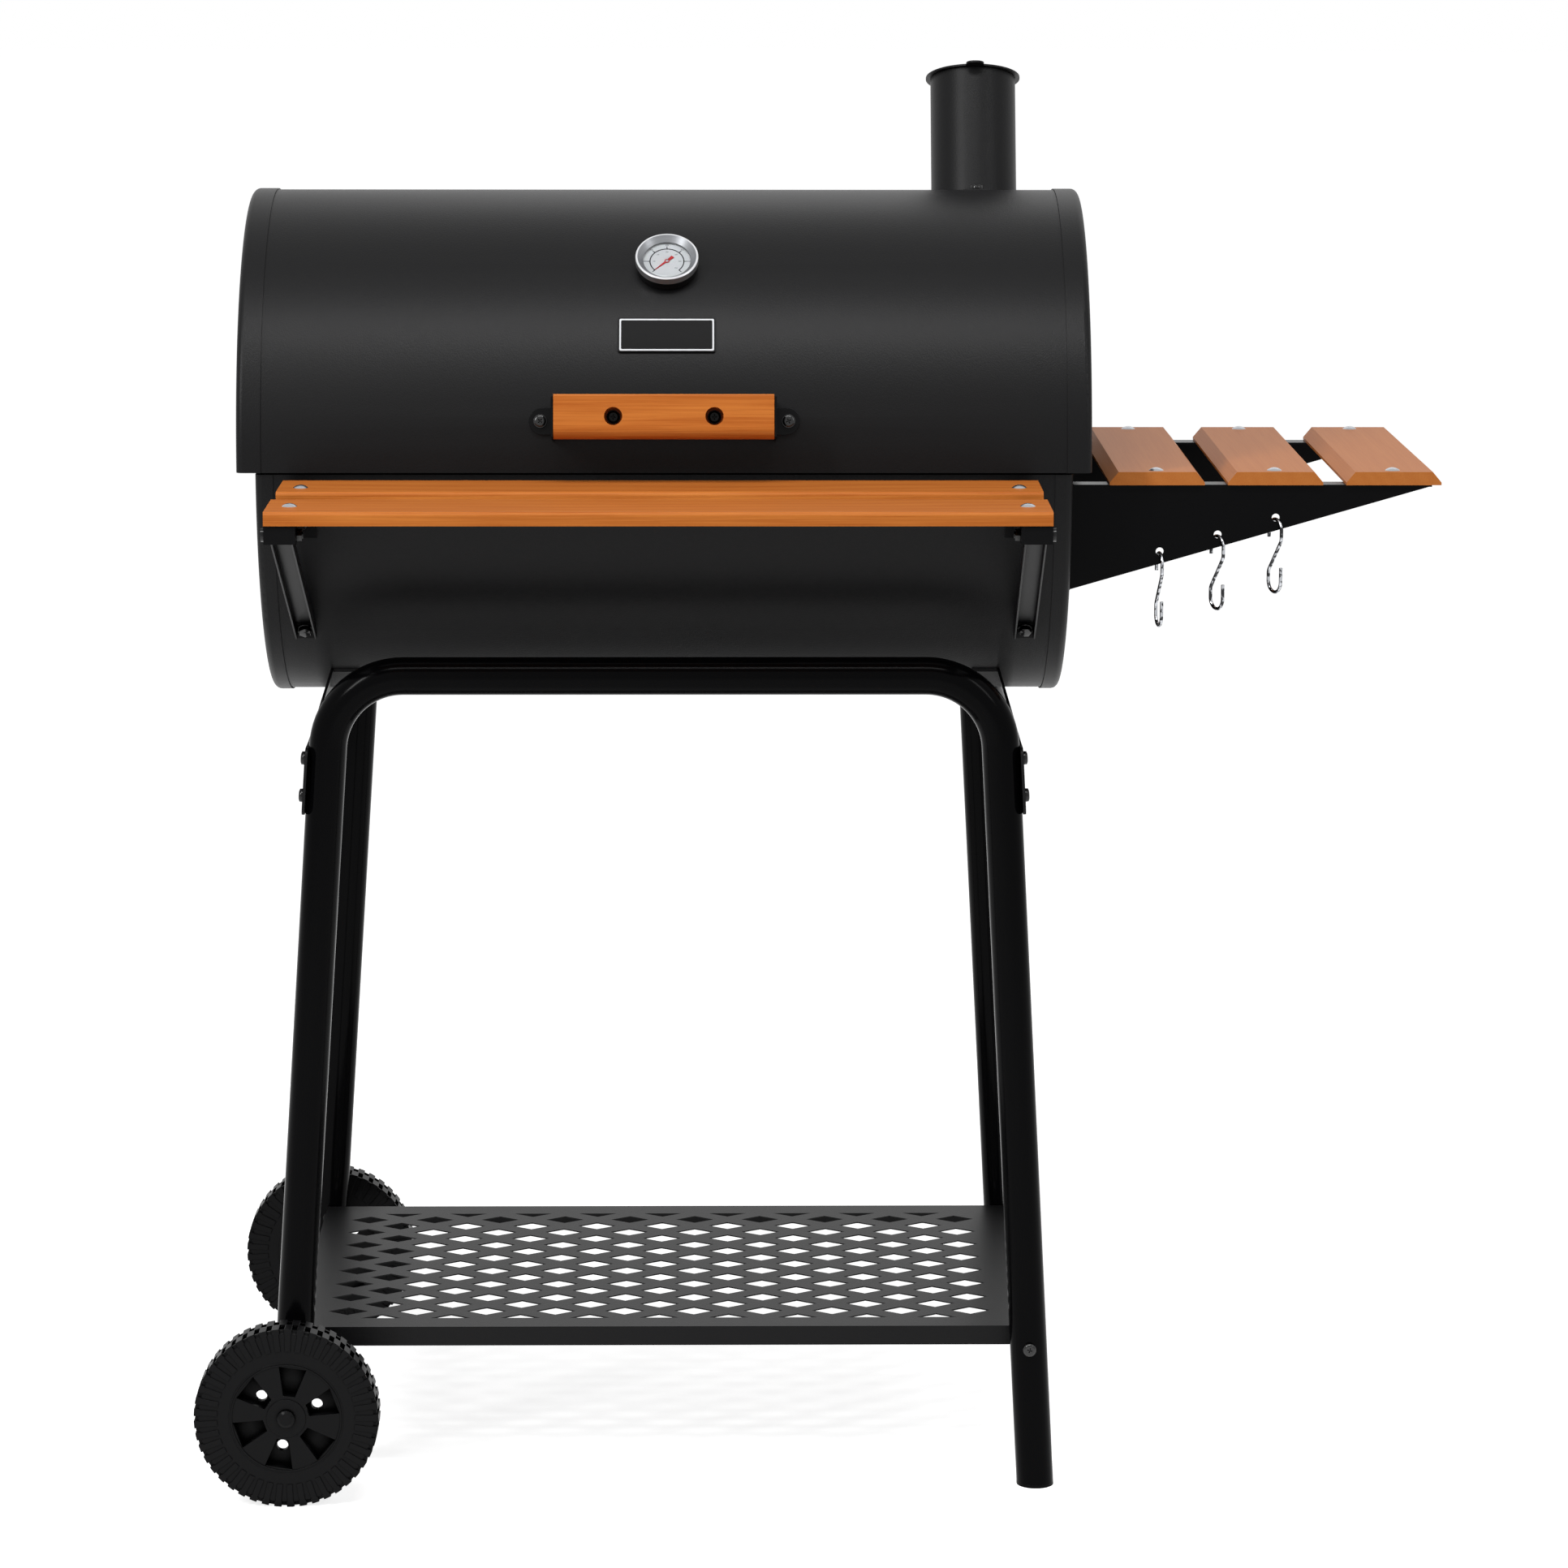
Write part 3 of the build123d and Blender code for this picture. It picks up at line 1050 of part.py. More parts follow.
# ---------------------------------------------------------------- shelf
columns, rows = DIAMOND_COUNT
pitch_x, pitch_y = DIAMOND_PITCH
half_long, half_wide = DIAMOND[0] / 2, DIAMOND[1] / 2
diamond = ((-half_long, 0), (0, -half_wide), (half_long, 0), (0, half_wide))
shelf_centre = sum(SHELF_X) / 2
washer = LEG_Y - TUBE_R - SHELF_HALF
with BuildPart() as shelf:
    with BuildSketch(Plane.XY.offset(SHELF_TOP)):
        with Locations((shelf_centre, 0)):
            Rectangle(SHELF_X[1] - SHELF_X[0], 2 * SHELF_HALF)
    extrude(amount=-SHELF_APRON)
    offset(amount=-SHEET, openings=shelf.faces().sort_by(Axis.Z)[0])
    with BuildSketch(Plane.XY.offset(SHELF_TOP)):
        with Locations((DIAMOND_X, 0)):
            with GridLocations(pitch_x, pitch_y, columns, rows):
                Polygon(*diamond)
            with GridLocations(pitch_x, pitch_y, columns - 1, rows + 1):
                Polygon(*diamond)
            Rectangle(columns * pitch_x, rows * pitch_y, mode=Mode.INTERSECT)
    extrude(amount=-SHEET, mode=Mode.SUBTRACT)
    for y in (-SHELF_HALF, SHELF_HALF):
        for side in (-1, 1):
            with BuildSketch(Plane(origin=(0, y, 0), x_dir=(1, 0, 0), z_dir=(0, -1, 0))):
                with Locations((leg_x(side, SHELF_SCREW_Z), SHELF_SCREW_Z)):
                    Circle(HOLE_R)
            extrude(amount=2 * SHEET, both=True, mode=Mode.SUBTRACT)
save(shelf.part, "shelf")

for side in (-1, 1):
    for y in (-1, 1):
        origin = (leg_x(side, SHELF_SCREW_Z), y * (LEG_Y + TUBE_R), SHELF_SCREW_Z)
        seat = Plane(origin=origin, x_dir=(1, 0, 0), z_dir=(0, y, 0))
        cart_screws.append(bolt(seat, 2 * TUBE_R + washer + 1.5 * SHEET, nut=False))

with BuildPart() as shelf_washers:
    for side in (-1, 1):
        for y in (-1, 1):
            origin = (leg_x(side, SHELF_SCREW_Z), y * SHELF_HALF, SHELF_SCREW_Z)
            with BuildSketch(Plane(origin=origin, x_dir=(1, 0, 0), z_dir=(0, y, 0))):
                Circle(2 * BOLT_R)
                Circle(HOLE_R, mode=Mode.SUBTRACT)
            extrude(amount=washer)
save(group(cart_screws + [shelf_washers.part]), "cart_screws")

# ---------------------------------------------------------------- wheels and axle
with BuildPart() as axle:
    with BuildSketch(Plane(origin=(WHEEL_X, 0, WHEEL_R), x_dir=(1, 0, 0), z_dir=(0, -1, 0))):
        Circle(AXLE_R)
    extrude(amount=AXLE_HALF, both=True)
save(axle.part, "axle")

with BuildPart() as axle_caps:
    for y in (-1, 1):
        with BuildSketch(Plane(origin=(WHEEL_X, y * AXLE_HALF, WHEEL_R), x_dir=(1, 0, 0), z_dir=(0, y, 0))):
            Circle(AXLE_CAP_R)
        extrude(amount=AXLE_CAP)
    outer = axle_caps.faces().filter_by(Plane.XZ).group_by(Axis.Y)
    chamfer((outer[0] + outer[-1]).edges(), AXLE_CAP * 0.4, AXLE_CAP * 0.6)
save(axle_caps.part, "axle_caps")


def wheel_plane(end, depth):
    """A plane across a wheel, `depth` in from its outer face, its normal pointing outward."""
    y = end * (WHEEL_FACE - depth)
    return Plane(origin=(WHEEL_X, y, WHEEL_R), x_dir=(-end, 0, 0), z_dir=(0, end, 0))


pocket_in = HUB_BOSS_R + HUB_WALL
pocket_out = RIM_R - HUB_WALL
for end, name in ((-1, "front"), (1, "rear")):
    with BuildPart() as tyre:
        with BuildSketch(wheel_plane(end, SIDE_BAR)):
            Circle(TYRE_BASE_R)
        extrude(amount=-(WHEEL_WIDTH - 2 * SIDE_BAR))
        chamfer(tyre.edges().filter_by(GeomType.CIRCLE), 2 * SIDE_BAR)
        for depth in (TREAD_RIB, (WHEEL_WIDTH - TREAD_RIB) / 2, WHEEL_WIDTH - 2 * TREAD_RIB):
            with BuildSketch(wheel_plane(end, depth)):
                Circle(TREAD_RIB_R)
            extrude(amount=-TREAD_RIB)
        # two rows of lugs, half a pitch apart, each folded over its side wall as a bar
        for row in (0, 1):
            start = 0 if row == 0 else WHEEL_WIDTH / 2 - SIDE_PLAY
            wall = 0 if row == 0 else WHEEL_WIDTH - 2 * SIDE_BAR
            phase = row * 180 / LUG_COUNT
            lug_r = (WHEEL_R + TYRE_BASE_R) / 2 - SIDE_BAR
            with BuildSketch(wheel_plane(end, start)):
                with PolarLocations(lug_r, LUG_COUNT, start_angle=phase):
                    Rectangle(2 * (WHEEL_R - lug_r), WHEEL_R * math.radians(LUG_ANGLE))
                Circle(WHEEL_R, mode=Mode.INTERSECT)
            extrude(amount=-(WHEEL_WIDTH / 2 + SIDE_PLAY))
            with BuildSketch(wheel_plane(end, wall)):
                with PolarLocations((SIDE_BAR_R + lug_r) / 2, LUG_COUNT, start_angle=phase):
                    Rectangle(lug_r - SIDE_BAR_R + SIDE_BAR, SIDE_BAR_R * math.radians(LUG_ANGLE))
            extrude(amount=-2 * SIDE_BAR)
        with BuildSketch(wheel_plane(end, 0)):
            Circle(RIM_R)
        extrude(amount=-WHEEL_WIDTH, mode=Mode.SUBTRACT)
    save(tyre.part, f"tyre_{name}")

    with BuildPart() as hub:
        with BuildSketch(wheel_plane(end, SIDE_BAR)):
            Circle(RIM_R)
        extrude(amount=-(WHEEL_WIDTH - 2 * SIDE_BAR))
        with BuildSketch(wheel_plane(end, 0)):
            Circle(HUB_RING_R)
            Circle(HUB_RING_R - HUB_RING, mode=Mode.SUBTRACT)
        extrude(amount=-2 * SIDE_BAR)
        with BuildSketch(wheel_plane(end, 0)):
            Circle(HUB_BOSS_R)
        extrude(amount=-(WHEEL_FACE - LEG_Y - TUBE_R - SIDE_PLAY))
        with BuildSketch(wheel_plane(end, SIDE_BAR)):
            for angle in HUB_POCKET_ANGLES:
                a = math.radians(angle - HUB_POCKET_HALF)
                b = math.radians(angle + HUB_POCKET_HALF)
                with BuildLine():
                    corners = [(pocket_in, a), (pocket_out, a), (pocket_out, b), (pocket_in, b)]
                    Polyline([(r * math.cos(t), r * math.sin(t)) for r, t in corners], close=True)
                make_face()
        extrude(amount=-HUB_POCKET, mode=Mode.SUBTRACT)
        with BuildSketch(wheel_plane(end, 0)):
            for angle in HUB_POCKET_ANGLES[::2]:
                turn = math.radians(angle)
                with Locations((HUB_HOLE_CIRCLE * math.cos(turn), HUB_HOLE_CIRCLE * math.sin(turn))):
                    Circle(HUB_HOLE_R)
            Circle(AXLE_R + RUNNING_CLEARANCE)
        extrude(amount=-2 * WHEEL_WIDTH, mode=Mode.SUBTRACT)
        with BuildSketch(wheel_plane(end, WHEEL_WIDTH - SIDE_BAR)):
            Circle(pocket_out)
            Circle(HUB_BOSS_R, mode=Mode.SUBTRACT)
        extrude(amount=HUB_HOLLOW, mode=Mode.SUBTRACT)
    save(hub.part, f"wheel_hub_{name}")

# ---------------------------------------------------------------- inside the drum
rest_half = math.sqrt(DRUM_INNER_R**2 - (BARREL_Z - REST_Z) ** 2)
inner_length = DRUM_LENGTH - 2 * END_BEND
with BuildPart() as grate_rests:
    for side in (-1, 1):
        with BuildSketch(SECTION):
            with Locations((side * rest_half, REST_Z - BARREL_Z)):
                Rectangle(2 * REST_WIDTH, REST_WIDTH, align=(Align.CENTER, Align.MAX))
            with Locations((side * (rest_half - REST_WIDTH), REST_Z - BARREL_Z - LEAF_SHEET)):
                Rectangle(4 * REST_WIDTH, REST_WIDTH, align=(Align.CENTER, Align.MAX), mode=Mode.SUBTRACT)
            Circle(DRUM_INNER_R, mode=Mode.INTERSECT)
        extrude(amount=inner_length / 2, both=True)
save(grate_rests.part, "grate_rests")

grate_length = (inner_length - GRATE_GAP * (GRATE_COUNT + 1)) / GRATE_COUNT
grate_half = rest_half - GRATE_GAP
bar_pitch = (grate_length - GRATE_BAR) / (GRATE_BARS - 1)
for i in range(GRATE_COUNT):
    centre = (i - (GRATE_COUNT - 1) / 2) * (grate_length + GRATE_GAP)
    with BuildPart() as grate:
        with BuildSketch(Plane.XY.offset(REST_Z)):
            with Locations((centre, 0)):
                Rectangle(grate_length, 2 * grate_half)
                for half in (-1, 1):
                    with Locations((0, half * (grate_half / 2 - GRATE_BAR / 4))):
                        with GridLocations(bar_pitch, 1, GRATE_BARS - 1, 1):
                            Rectangle(bar_pitch - GRATE_BAR, grate_half - 1.5 * GRATE_BAR, mode=Mode.SUBTRACT)
        extrude(amount=GRATE_THICK)
    save(grate.part, f"grate_{i + 1}")

rest_width, rest_sheet = PAN_REST
with BuildPart() as pan_rests:
    for x in (-PAN_REST_X, PAN_REST_X):
        with BuildSketch(SECTION.offset(x)):
            with Locations((0, PAN_Z - BARREL_Z)):
                Rectangle(2 * DRUM_R, rest_sheet, align=(Align.CENTER, Align.MAX))
            Circle(DRUM_INNER_R, mode=Mode.INTERSECT)
        extrude(amount=rest_width / 2, both=True)
save(pan_rests.part, "pan_rests")

with BuildPart() as charcoal_pan:
    with BuildSketch(Plane.XY.offset(PAN_Z)):
        Rectangle(PAN_LENGTH, PAN_DEPTH)
    extrude(amount=PAN_HEIGHT)
    offset(amount=-SHEET, openings=charcoal_pan.faces().sort_by(Axis.Z)[-1])
    with BuildSketch(Plane.XY.offset(PAN_Z + PAN_HEIGHT)):
        Rectangle(PAN_LENGTH + 2 * PAN_LIP, PAN_DEPTH + 2 * PAN_LIP)
        Rectangle(PAN_LENGTH - 2 * SHEET, PAN_DEPTH - 2 * SHEET, mode=Mode.SUBTRACT)
    extrude(amount=-SHEET)
    with BuildSketch(Plane.XY.offset(PAN_Z)):
        with GridLocations(PAN_LENGTH / PAN_SLOTS, PAN_DEPTH / 2, PAN_SLOTS, 2):
            SlotOverall(PAN_DEPTH / 3, PAN_SLOT_WIDTH, rotation=90)
    extrude(amount=2 * SHEET, mode=Mode.SUBTRACT)
save(charcoal_pan.part, "charcoal_pan")
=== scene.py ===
"""Finishes, fittings, floor, light and camera for a barrel charcoal grill on a wheeled cart."""
import json
import logging
import math
from collections.abc import Callable
from dataclasses import dataclass, field
from enum import Enum

import bmesh
import bpy
import numpy as np
from mathutils import Matrix, Vector


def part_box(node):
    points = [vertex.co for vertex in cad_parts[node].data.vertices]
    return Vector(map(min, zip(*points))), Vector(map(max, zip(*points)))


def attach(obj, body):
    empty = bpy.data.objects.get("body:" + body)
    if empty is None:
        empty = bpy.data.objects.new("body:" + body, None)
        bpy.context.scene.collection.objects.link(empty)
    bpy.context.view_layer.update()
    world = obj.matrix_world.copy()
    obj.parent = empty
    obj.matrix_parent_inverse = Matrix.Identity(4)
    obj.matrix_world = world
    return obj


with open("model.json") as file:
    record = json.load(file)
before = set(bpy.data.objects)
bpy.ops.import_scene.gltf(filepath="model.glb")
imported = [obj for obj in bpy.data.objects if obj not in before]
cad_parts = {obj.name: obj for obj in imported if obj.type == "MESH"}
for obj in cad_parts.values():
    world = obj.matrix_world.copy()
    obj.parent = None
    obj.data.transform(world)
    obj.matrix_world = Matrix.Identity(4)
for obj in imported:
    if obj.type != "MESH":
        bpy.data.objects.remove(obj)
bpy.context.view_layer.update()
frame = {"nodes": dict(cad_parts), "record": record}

log = logging.getLogger("grill")
Colour = tuple[float, float, float]
Point = tuple[float, float, float]
Socket = bpy.types.NodeSocket
MM = 0.001
# Shares of a unit direction along an axis: above the first it points that way,
# below the second it lies square to the axis.
ALONG = 0.9
SQUARE = 0.1


def srgb(red: int, green: int, blue: int) -> Colour:
    """Turn a display colour into the linear one that shaders take.

    Args:
        red: red, 0 to 255.
        green: green, 0 to 255.
        blue: blue, 0 to 255.

    Returns:
        The linear colour.
    """
    shown = (channel / 255 for channel in (red, green, blue))
    return tuple(((c + 0.055) / 1.055) ** 2.4 if c > 0.04045 else c / 12.92 for c in shown)


def toned(colour: Colour, share: float) -> Colour:
    """Make a linear colour darker or lighter.

    Args:
        colour: the colour.
        share: what each channel is multiplied by.

    Returns:
        The new colour, no channel over 1.
    """
    return tuple(min(1.0, share * c) for c in colour)


class Nodes:
    """A node tree, with short ways to add and join nodes."""

    def __init__(self, tree: bpy.types.NodeTree) -> None:
        """Work on a node tree."""
        self.tree = tree

    def add(self, kind: str, **values: object) -> bpy.types.Node:
        """Add one node.

        Args:
            kind: the node's type, without its ShaderNode prefix.
            values: properties of the node, or values of inputs where no property has that name.

        Returns:
            The new node.
        """
        node = self.tree.nodes.new("ShaderNode" + kind)
        for name, value in values.items():
            if hasattr(node, name):
                setattr(node, name, value)
            else:
                node.inputs[name.replace("_", " ").title()].default_value = value
        return node

    def join(self, source: Socket, target: Socket) -> None:
        """Link one socket to another."""
        self.tree.links.new(source, target)

    def place(self) -> Socket:
        """Give the shaded point in the object's own coordinates."""
        return self.add("TexCoord").outputs["Object"]

    def vector(
        self, operation: str, source: Socket, by: Point | None = None, plus: Socket | None = None
    ) -> Socket:
        """Do one step of vector arithmetic.

        Args:
            operation: what is done.
            source: the first vector.
            by: the second vector, where the operation takes one.
            plus: the third vector, where the operation takes one.

        Returns:
            The result.
        """
        node = self.add("VectorMath", operation=operation)
        self.join(source, node.inputs[0])
        if by is not None:
            node.inputs[1].default_value = by
        if plus is not None:
            self.join(plus, node.inputs[2])
        return node.outputs["Value" if operation == "LENGTH" else "Vector"]

    def number(
        self, operation: str, source: Socket, by: float | Socket, plus: Socket | None = None
    ) -> Socket:
        """Do one step of arithmetic.

        Args:
            operation: what is done.
            source: the first value.
            by: the second value.
            plus: the third value, where the operation takes one.

        Returns:
            The result.
        """
        node = self.add("Math", operation=operation)
        self.join(source, node.inputs[0])
        if isinstance(by, Socket):
            self.join(by, node.inputs[1])
        else:
            node.inputs[1].default_value = by
        if plus is not None:
            self.join(plus, node.inputs[2])
        return node.outputs["Value"]

    def span(self, source: Socket, start: float, end: float, low: float = 0.0) -> Socket:
        """Stretch a part of a value's range.

        Args:
            source: the value.
            start: the value that gives `low`; less gives no less.
            end: the value that gives 1; more gives no more.
            low: the lowest result.

        Returns:
            The result.
        """
        node = self.add("MapRange")
        for name, value in (("From Min", start), ("From Max", end), ("To Min", low)):
            node.inputs[name].default_value = value
        self.join(source, node.inputs["Value"])
        return node.outputs["Result"]

    def noise(
        self, source: Socket, scale: float, detail: float, **values: object
    ) -> bpy.types.Node:
        """Add a noise pattern.

        Args:
            source: the point, or the one coordinate of a pattern in one dimension.
            scale: how many features fit in a metre.
            detail: how many finer layers it has.
            values: more properties and inputs of the node.

        Returns:
            The node.
        """
        node = self.add("TexNoise", **values, Scale=scale, Detail=detail)
        self.join(source, node.inputs["W" if node.noise_dimensions == "1D" else "Vector"])
        return node

    def ramp(self, source: Socket, *stops: tuple[float, Colour]) -> Socket:
        """Colour a value through a ramp.

        Args:
            source: the value.
            stops: pairs of a place from 0 to 1 and a colour, in order.

        Returns:
            The colour.
        """
        node = self.add("ValToRGB")
        elements = node.color_ramp.elements
        while len(elements) < len(stops):
            elements.new(1.0)
        for element, (place, colour) in zip(elements, stops):
            element.position = place
            element.color = (*colour, 1.0)
        self.join(source, node.inputs["Fac"])
        return node.outputs["Color"]


class Surface(Nodes):
    """A new material's node tree and its shader."""

    def __init__(self, name: str) -> None:
        """Start a material called `name` with its default shader."""
        self.material = bpy.data.materials.new(name)
        self.material.use_nodes = True
        super().__init__(self.material.node_tree)
        self.shader = self.tree.nodes["Principled BSDF"]

    def set(self, **values: object) -> None:
        """Set constant values on the shader's own sockets, by their names with underscores."""
        for name, value in values.items():
            colour = isinstance(value, tuple)
            self.shader.inputs[name.replace("_", " ")].default_value = (
                (*value, 1.0) if colour else value
            )

    def feed(self, name: str, source: Socket) -> None:
        """Let a socket drive the shader's socket of that name."""
        self.join(source, self.shader.inputs[name])

    def bump(
        self, height: Socket, depth: float, strength: float, base: Socket | None = None
    ) -> None:
        """Roughen the surface.

        Args:
            height: the relief, 0 to 1.
            depth: the relief's depth in metres.
            strength: how much of it shows.
            base: the normal it is added to, or None for the surface's own.
        """
        node = self.add("Bump", Distance=depth, Strength=strength)
        self.join(height, node.inputs["Height"])
        if base:
            self.join(base, node.inputs["Normal"])
        self.feed("Normal", node.outputs["Normal"])


# A grain's depth as a share of its size.
GRAIN_DEPTH = 0.25
# Painted reflection: dark stripes in bright wire's colour that stand in for dark surroundings
# mirrored in it; where in the noise they end, and how dark they are.
REFLECTION_BAND_ENDS = (0.44, 0.54)
REFLECTION_BAND_TONE = 0.08
# Painted shade in pockets: the openness at which it is darkest and at which it ends, and how dark
# it is.
PAINTED_SHADE_ENDS = (0.35, 0.85)
PAINTED_SHADE_TONE = 0.25


@dataclass(frozen=True)
class Coat:
    """An even finish: paint, plating, moulded plastic or rubber.

    `grain` is the strength of a fine relief, `grain_size` its size, `edge` the radius that its
    edges seem rounded to, `painted_shade_reach` how far it looks for walls round a pocket that it
    paints shade into, and `painted_reflection_size` the size of the dark stripes of painted
    reflection, which stand in for dark surroundings mirrored in bright wire. A zero leaves one out.
    """

    name: str
    colour: Colour
    roughness: float
    metallic: float = 0.0
    specular: float = 0.5
    grain: float = 0.0
    grain_size: float = 1.2 * MM
    edge: float = 0.0
    painted_shade_reach: float = 0.0
    painted_reflection_size: float = 0.0

    def material(self) -> bpy.types.Material:
        """Build the finish.

        Returns:
            The material.
        """
        surface = Surface(self.name)
        surface.set(Base_Color=self.colour, Roughness=self.roughness, Metallic=self.metallic)
        surface.set(Specular_IOR_Level=self.specular)
        rounded = None
        if self.edge:
            rounded = surface.add("Bevel", samples=4, Radius=self.edge).outputs["Normal"]
            surface.feed("Normal", rounded)
        if self.grain:
            noise = surface.noise(surface.place(), 1 / self.grain_size, 3.0)
            depth = self.grain_size * GRAIN_DEPTH
            surface.bump(noise.outputs["Fac"], depth, self.grain, rounded)
        # Painted reflection: dark stripes in the colour, for the dark surroundings that bright wire
        # mirrors.
        if self.painted_reflection_size:
            noise = surface.noise(surface.place(), 1 / self.painted_reflection_size, 1.0)
            dark, bright = REFLECTION_BAND_ENDS
            stops = ((dark, toned(self.colour, REFLECTION_BAND_TONE)), (bright, self.colour))
            surface.feed("Base Color", surface.ramp(noise.outputs["Fac"], *stops))
        if self.painted_shade_reach:
            self.paint_pocket_shade(surface)
        return surface.material

    def paint_pocket_shade(self, surface: Surface) -> None:
        """Paint shade into pockets: darken the finish and dim its shine where walls close round a
        point.

        Args:
            surface: the finish.
        """
        # Painted shade: colour and shine fall off where ambient occlusion finds walls near.
        occlusion = surface.add("AmbientOcclusion", samples=6, Distance=self.painted_shade_reach)
        openness = surface.span(occlusion.outputs["AO"], *PAINTED_SHADE_ENDS)
        stops = ((0.0, toned(self.colour, PAINTED_SHADE_TONE)), (1.0, self.colour))
        surface.feed("Base Color", surface.ramp(openness, *stops))
        surface.feed("Specular IOR Level", surface.number("MULTIPLY", openness, self.specular))


@dataclass(frozen=True)
class Glass:
    """Clear window glass, thin enough to bend little light."""

    name: str
    tint: Colour = (0.95, 0.96, 0.96)
    roughness: float = 0.02
    index: float = 1.1

    def material(self) -> bpy.types.Material:
        """Build the glass.

        Returns:
            The material.
        """
        surface = Surface(self.name)
        surface.set(Base_Color=self.tint, Roughness=self.roughness)
        surface.set(Transmission_Weight=1.0, IOR=self.index)
        return surface.material


class Run(Enum):
    """The way a board's grain runs: 0 along the axis that it follows, 1 along the others."""

    ACROSS = (0.0, 1.0, 1.0)
    FRONT_TO_BACK = (1.0, 0.0, 1.0)


@dataclass(frozen=True)
class StainedWood:
    """Stained, lacquered softwood whose growth rings run out along the boards.

    The pairs `sway` and `fibre` are counts per metre, across and along the grain, of the heart
    line's bends and of the fibres. `wander` is how far the heart line strays. `figure` holds the
    shares of the rings and of the fibres in the colour, and `stops` its places on the ramp.
    """

    name: str
    run: Run
    pale: Colour = srgb(200, 122, 54)
    dark: Colour = srgb(162, 84, 29)
    roughness: float = 0.4
    sheen: float = 0.1
    ring: float = 7 * MM
    heart: Point = (0.11, 0.07, 0.62)
    sway: tuple[float, float] = (12.0, 2.4)
    wander: float = 0.045
    fibre: tuple[float, float] = (700.0, 9.0)
    figure: tuple[float, float] = (0.11, 0.75)
    stops: tuple[float, float, float] = (0.26, 0.46, 0.66)
    relief: float = 0.3 * MM
    relief_strength: float = 0.12

    def counts(self, across: float, along: float) -> Point:
        """Give a pattern's counts along x, y and z.

        Args:
            across: its count across the grain.
            along: its count along the grain.

        Returns:
            The counts.
        """
        return tuple(across * share + along * (1 - share) for share in self.run.value)

    def material(self) -> bpy.types.Material:
        """Build the wood: rings about a heart line that wanders, and fine fibres along it.

        Returns:
            The material.
        """
        surface = Surface(self.name)
        place = surface.place()
        slow = surface.vector("MULTIPLY", place, self.counts(*self.sway))
        bends = surface.noise(slow, 1.0, 2.0).outputs["Color"]
        strayed = surface.vector("MULTIPLY_ADD", bends, (self.wander,) * 3, place)

        offset = surface.vector("SUBTRACT", strayed, self.heart)
        radius = surface.vector("LENGTH", surface.vector("MULTIPLY", offset, self.run.value))
        ring = surface.number("PINGPONG", radius, self.ring)
        ring_share = surface.number("DIVIDE", ring, self.ring)

        fine = surface.vector("MULTIPLY", place, self.counts(*self.fibre))
        fibres = surface.noise(fine, 1.0, 6.0, Roughness=0.65).outputs["Fac"]

        of_rings, of_fibres = self.figure
        fibre_share = surface.number("MULTIPLY", fibres, of_fibres)
        figure = surface.number("MULTIPLY_ADD", ring_share, of_rings, fibre_share)
        middle = tuple((a + b) / 2 for a, b in zip(self.pale, self.dark))
        colours = (self.dark, middle, self.pale)
        surface.feed("Base Color", surface.ramp(figure, *zip(self.stops, colours)))
        surface.set(Roughness=self.roughness, Specular_IOR_Level=self.sheen)
        surface.bump(fibres, self.relief, self.relief_strength)
        return surface.material


@dataclass(frozen=True)
class Brushed:
    """Bright metal turned about an axis: a brushed, greyer wall, and round it a rim painted lighter
    as a highlight.

    `tones` and `stops` are the darkest and the lightest brushed lines and their places in the
    noise, and `rim_edge` is half the width of the change from wall to rim.
    """

    name: str
    middle: Vector
    way: Vector
    rim_start: float = 26.5 * MM
    rim_edge: float = 0.1 * MM
    wall: Colour = srgb(134, 136, 139)
    # The rim's lighter colour is a painted highlight.
    rim: Colour = srgb(214, 215, 217)
    scratch: float = 0.22 * MM
    tones: tuple[float, float] = (0.7, 1.35)
    stops: tuple[float, float] = (0.35, 0.65)
    roughness: float = 0.36

    def material(self) -> bpy.types.Material:
        """Build the finish from the distance to the axis.

        Returns:
            The material.
        """
        surface = Surface(self.name)
        offset = surface.vector("SUBTRACT", surface.place(), self.middle)
        radius = surface.vector("LENGTH", surface.vector("CROSS_PRODUCT", offset, self.way))

        lines = surface.noise(radius, 1 / self.scratch, 2.0, noise_dimensions="1D")
        colours = (toned(self.wall, tone) for tone in self.tones)
        brushed = surface.ramp(lines.outputs["Fac"], *zip(self.stops, colours))
        # Painted highlight: from rim_start outward the colour turns to the rim's lighter one.
        start, end = self.rim_start - self.rim_edge, self.rim_start + self.rim_edge
        rim_highlight_share = surface.span(radius, start, end)

        blend = surface.add("Mix", data_type="RGBA")
        wall, rim = (socket for socket in blend.inputs if socket.type == "RGBA")
        surface.join(rim_highlight_share, blend.inputs["Factor"])
        surface.join(brushed, wall)
        rim.default_value = (*self.rim, 1)
        mixed = next(socket for socket in blend.outputs if socket.type == "RGBA")
        surface.feed("Base Color", mixed)
        surface.set(Metallic=1.0, Roughness=self.roughness)
        return surface.material


DIAL_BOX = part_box("thermometer_dial")
DIAL_MIDDLE = (DIAL_BOX[0] + DIAL_BOX[1]) / 2
DIAL_SIZE = DIAL_BOX[1] - DIAL_BOX[0]
DIAL_WAY = Vector((0, -DIAL_SIZE.z, DIAL_SIZE.y)).normalized()
BLACK_COAT = Coat(
    "black_coat", srgb(13, 13, 14), 0.41, specular=0.135, grain=0.45, grain_size=1.3 * MM
)
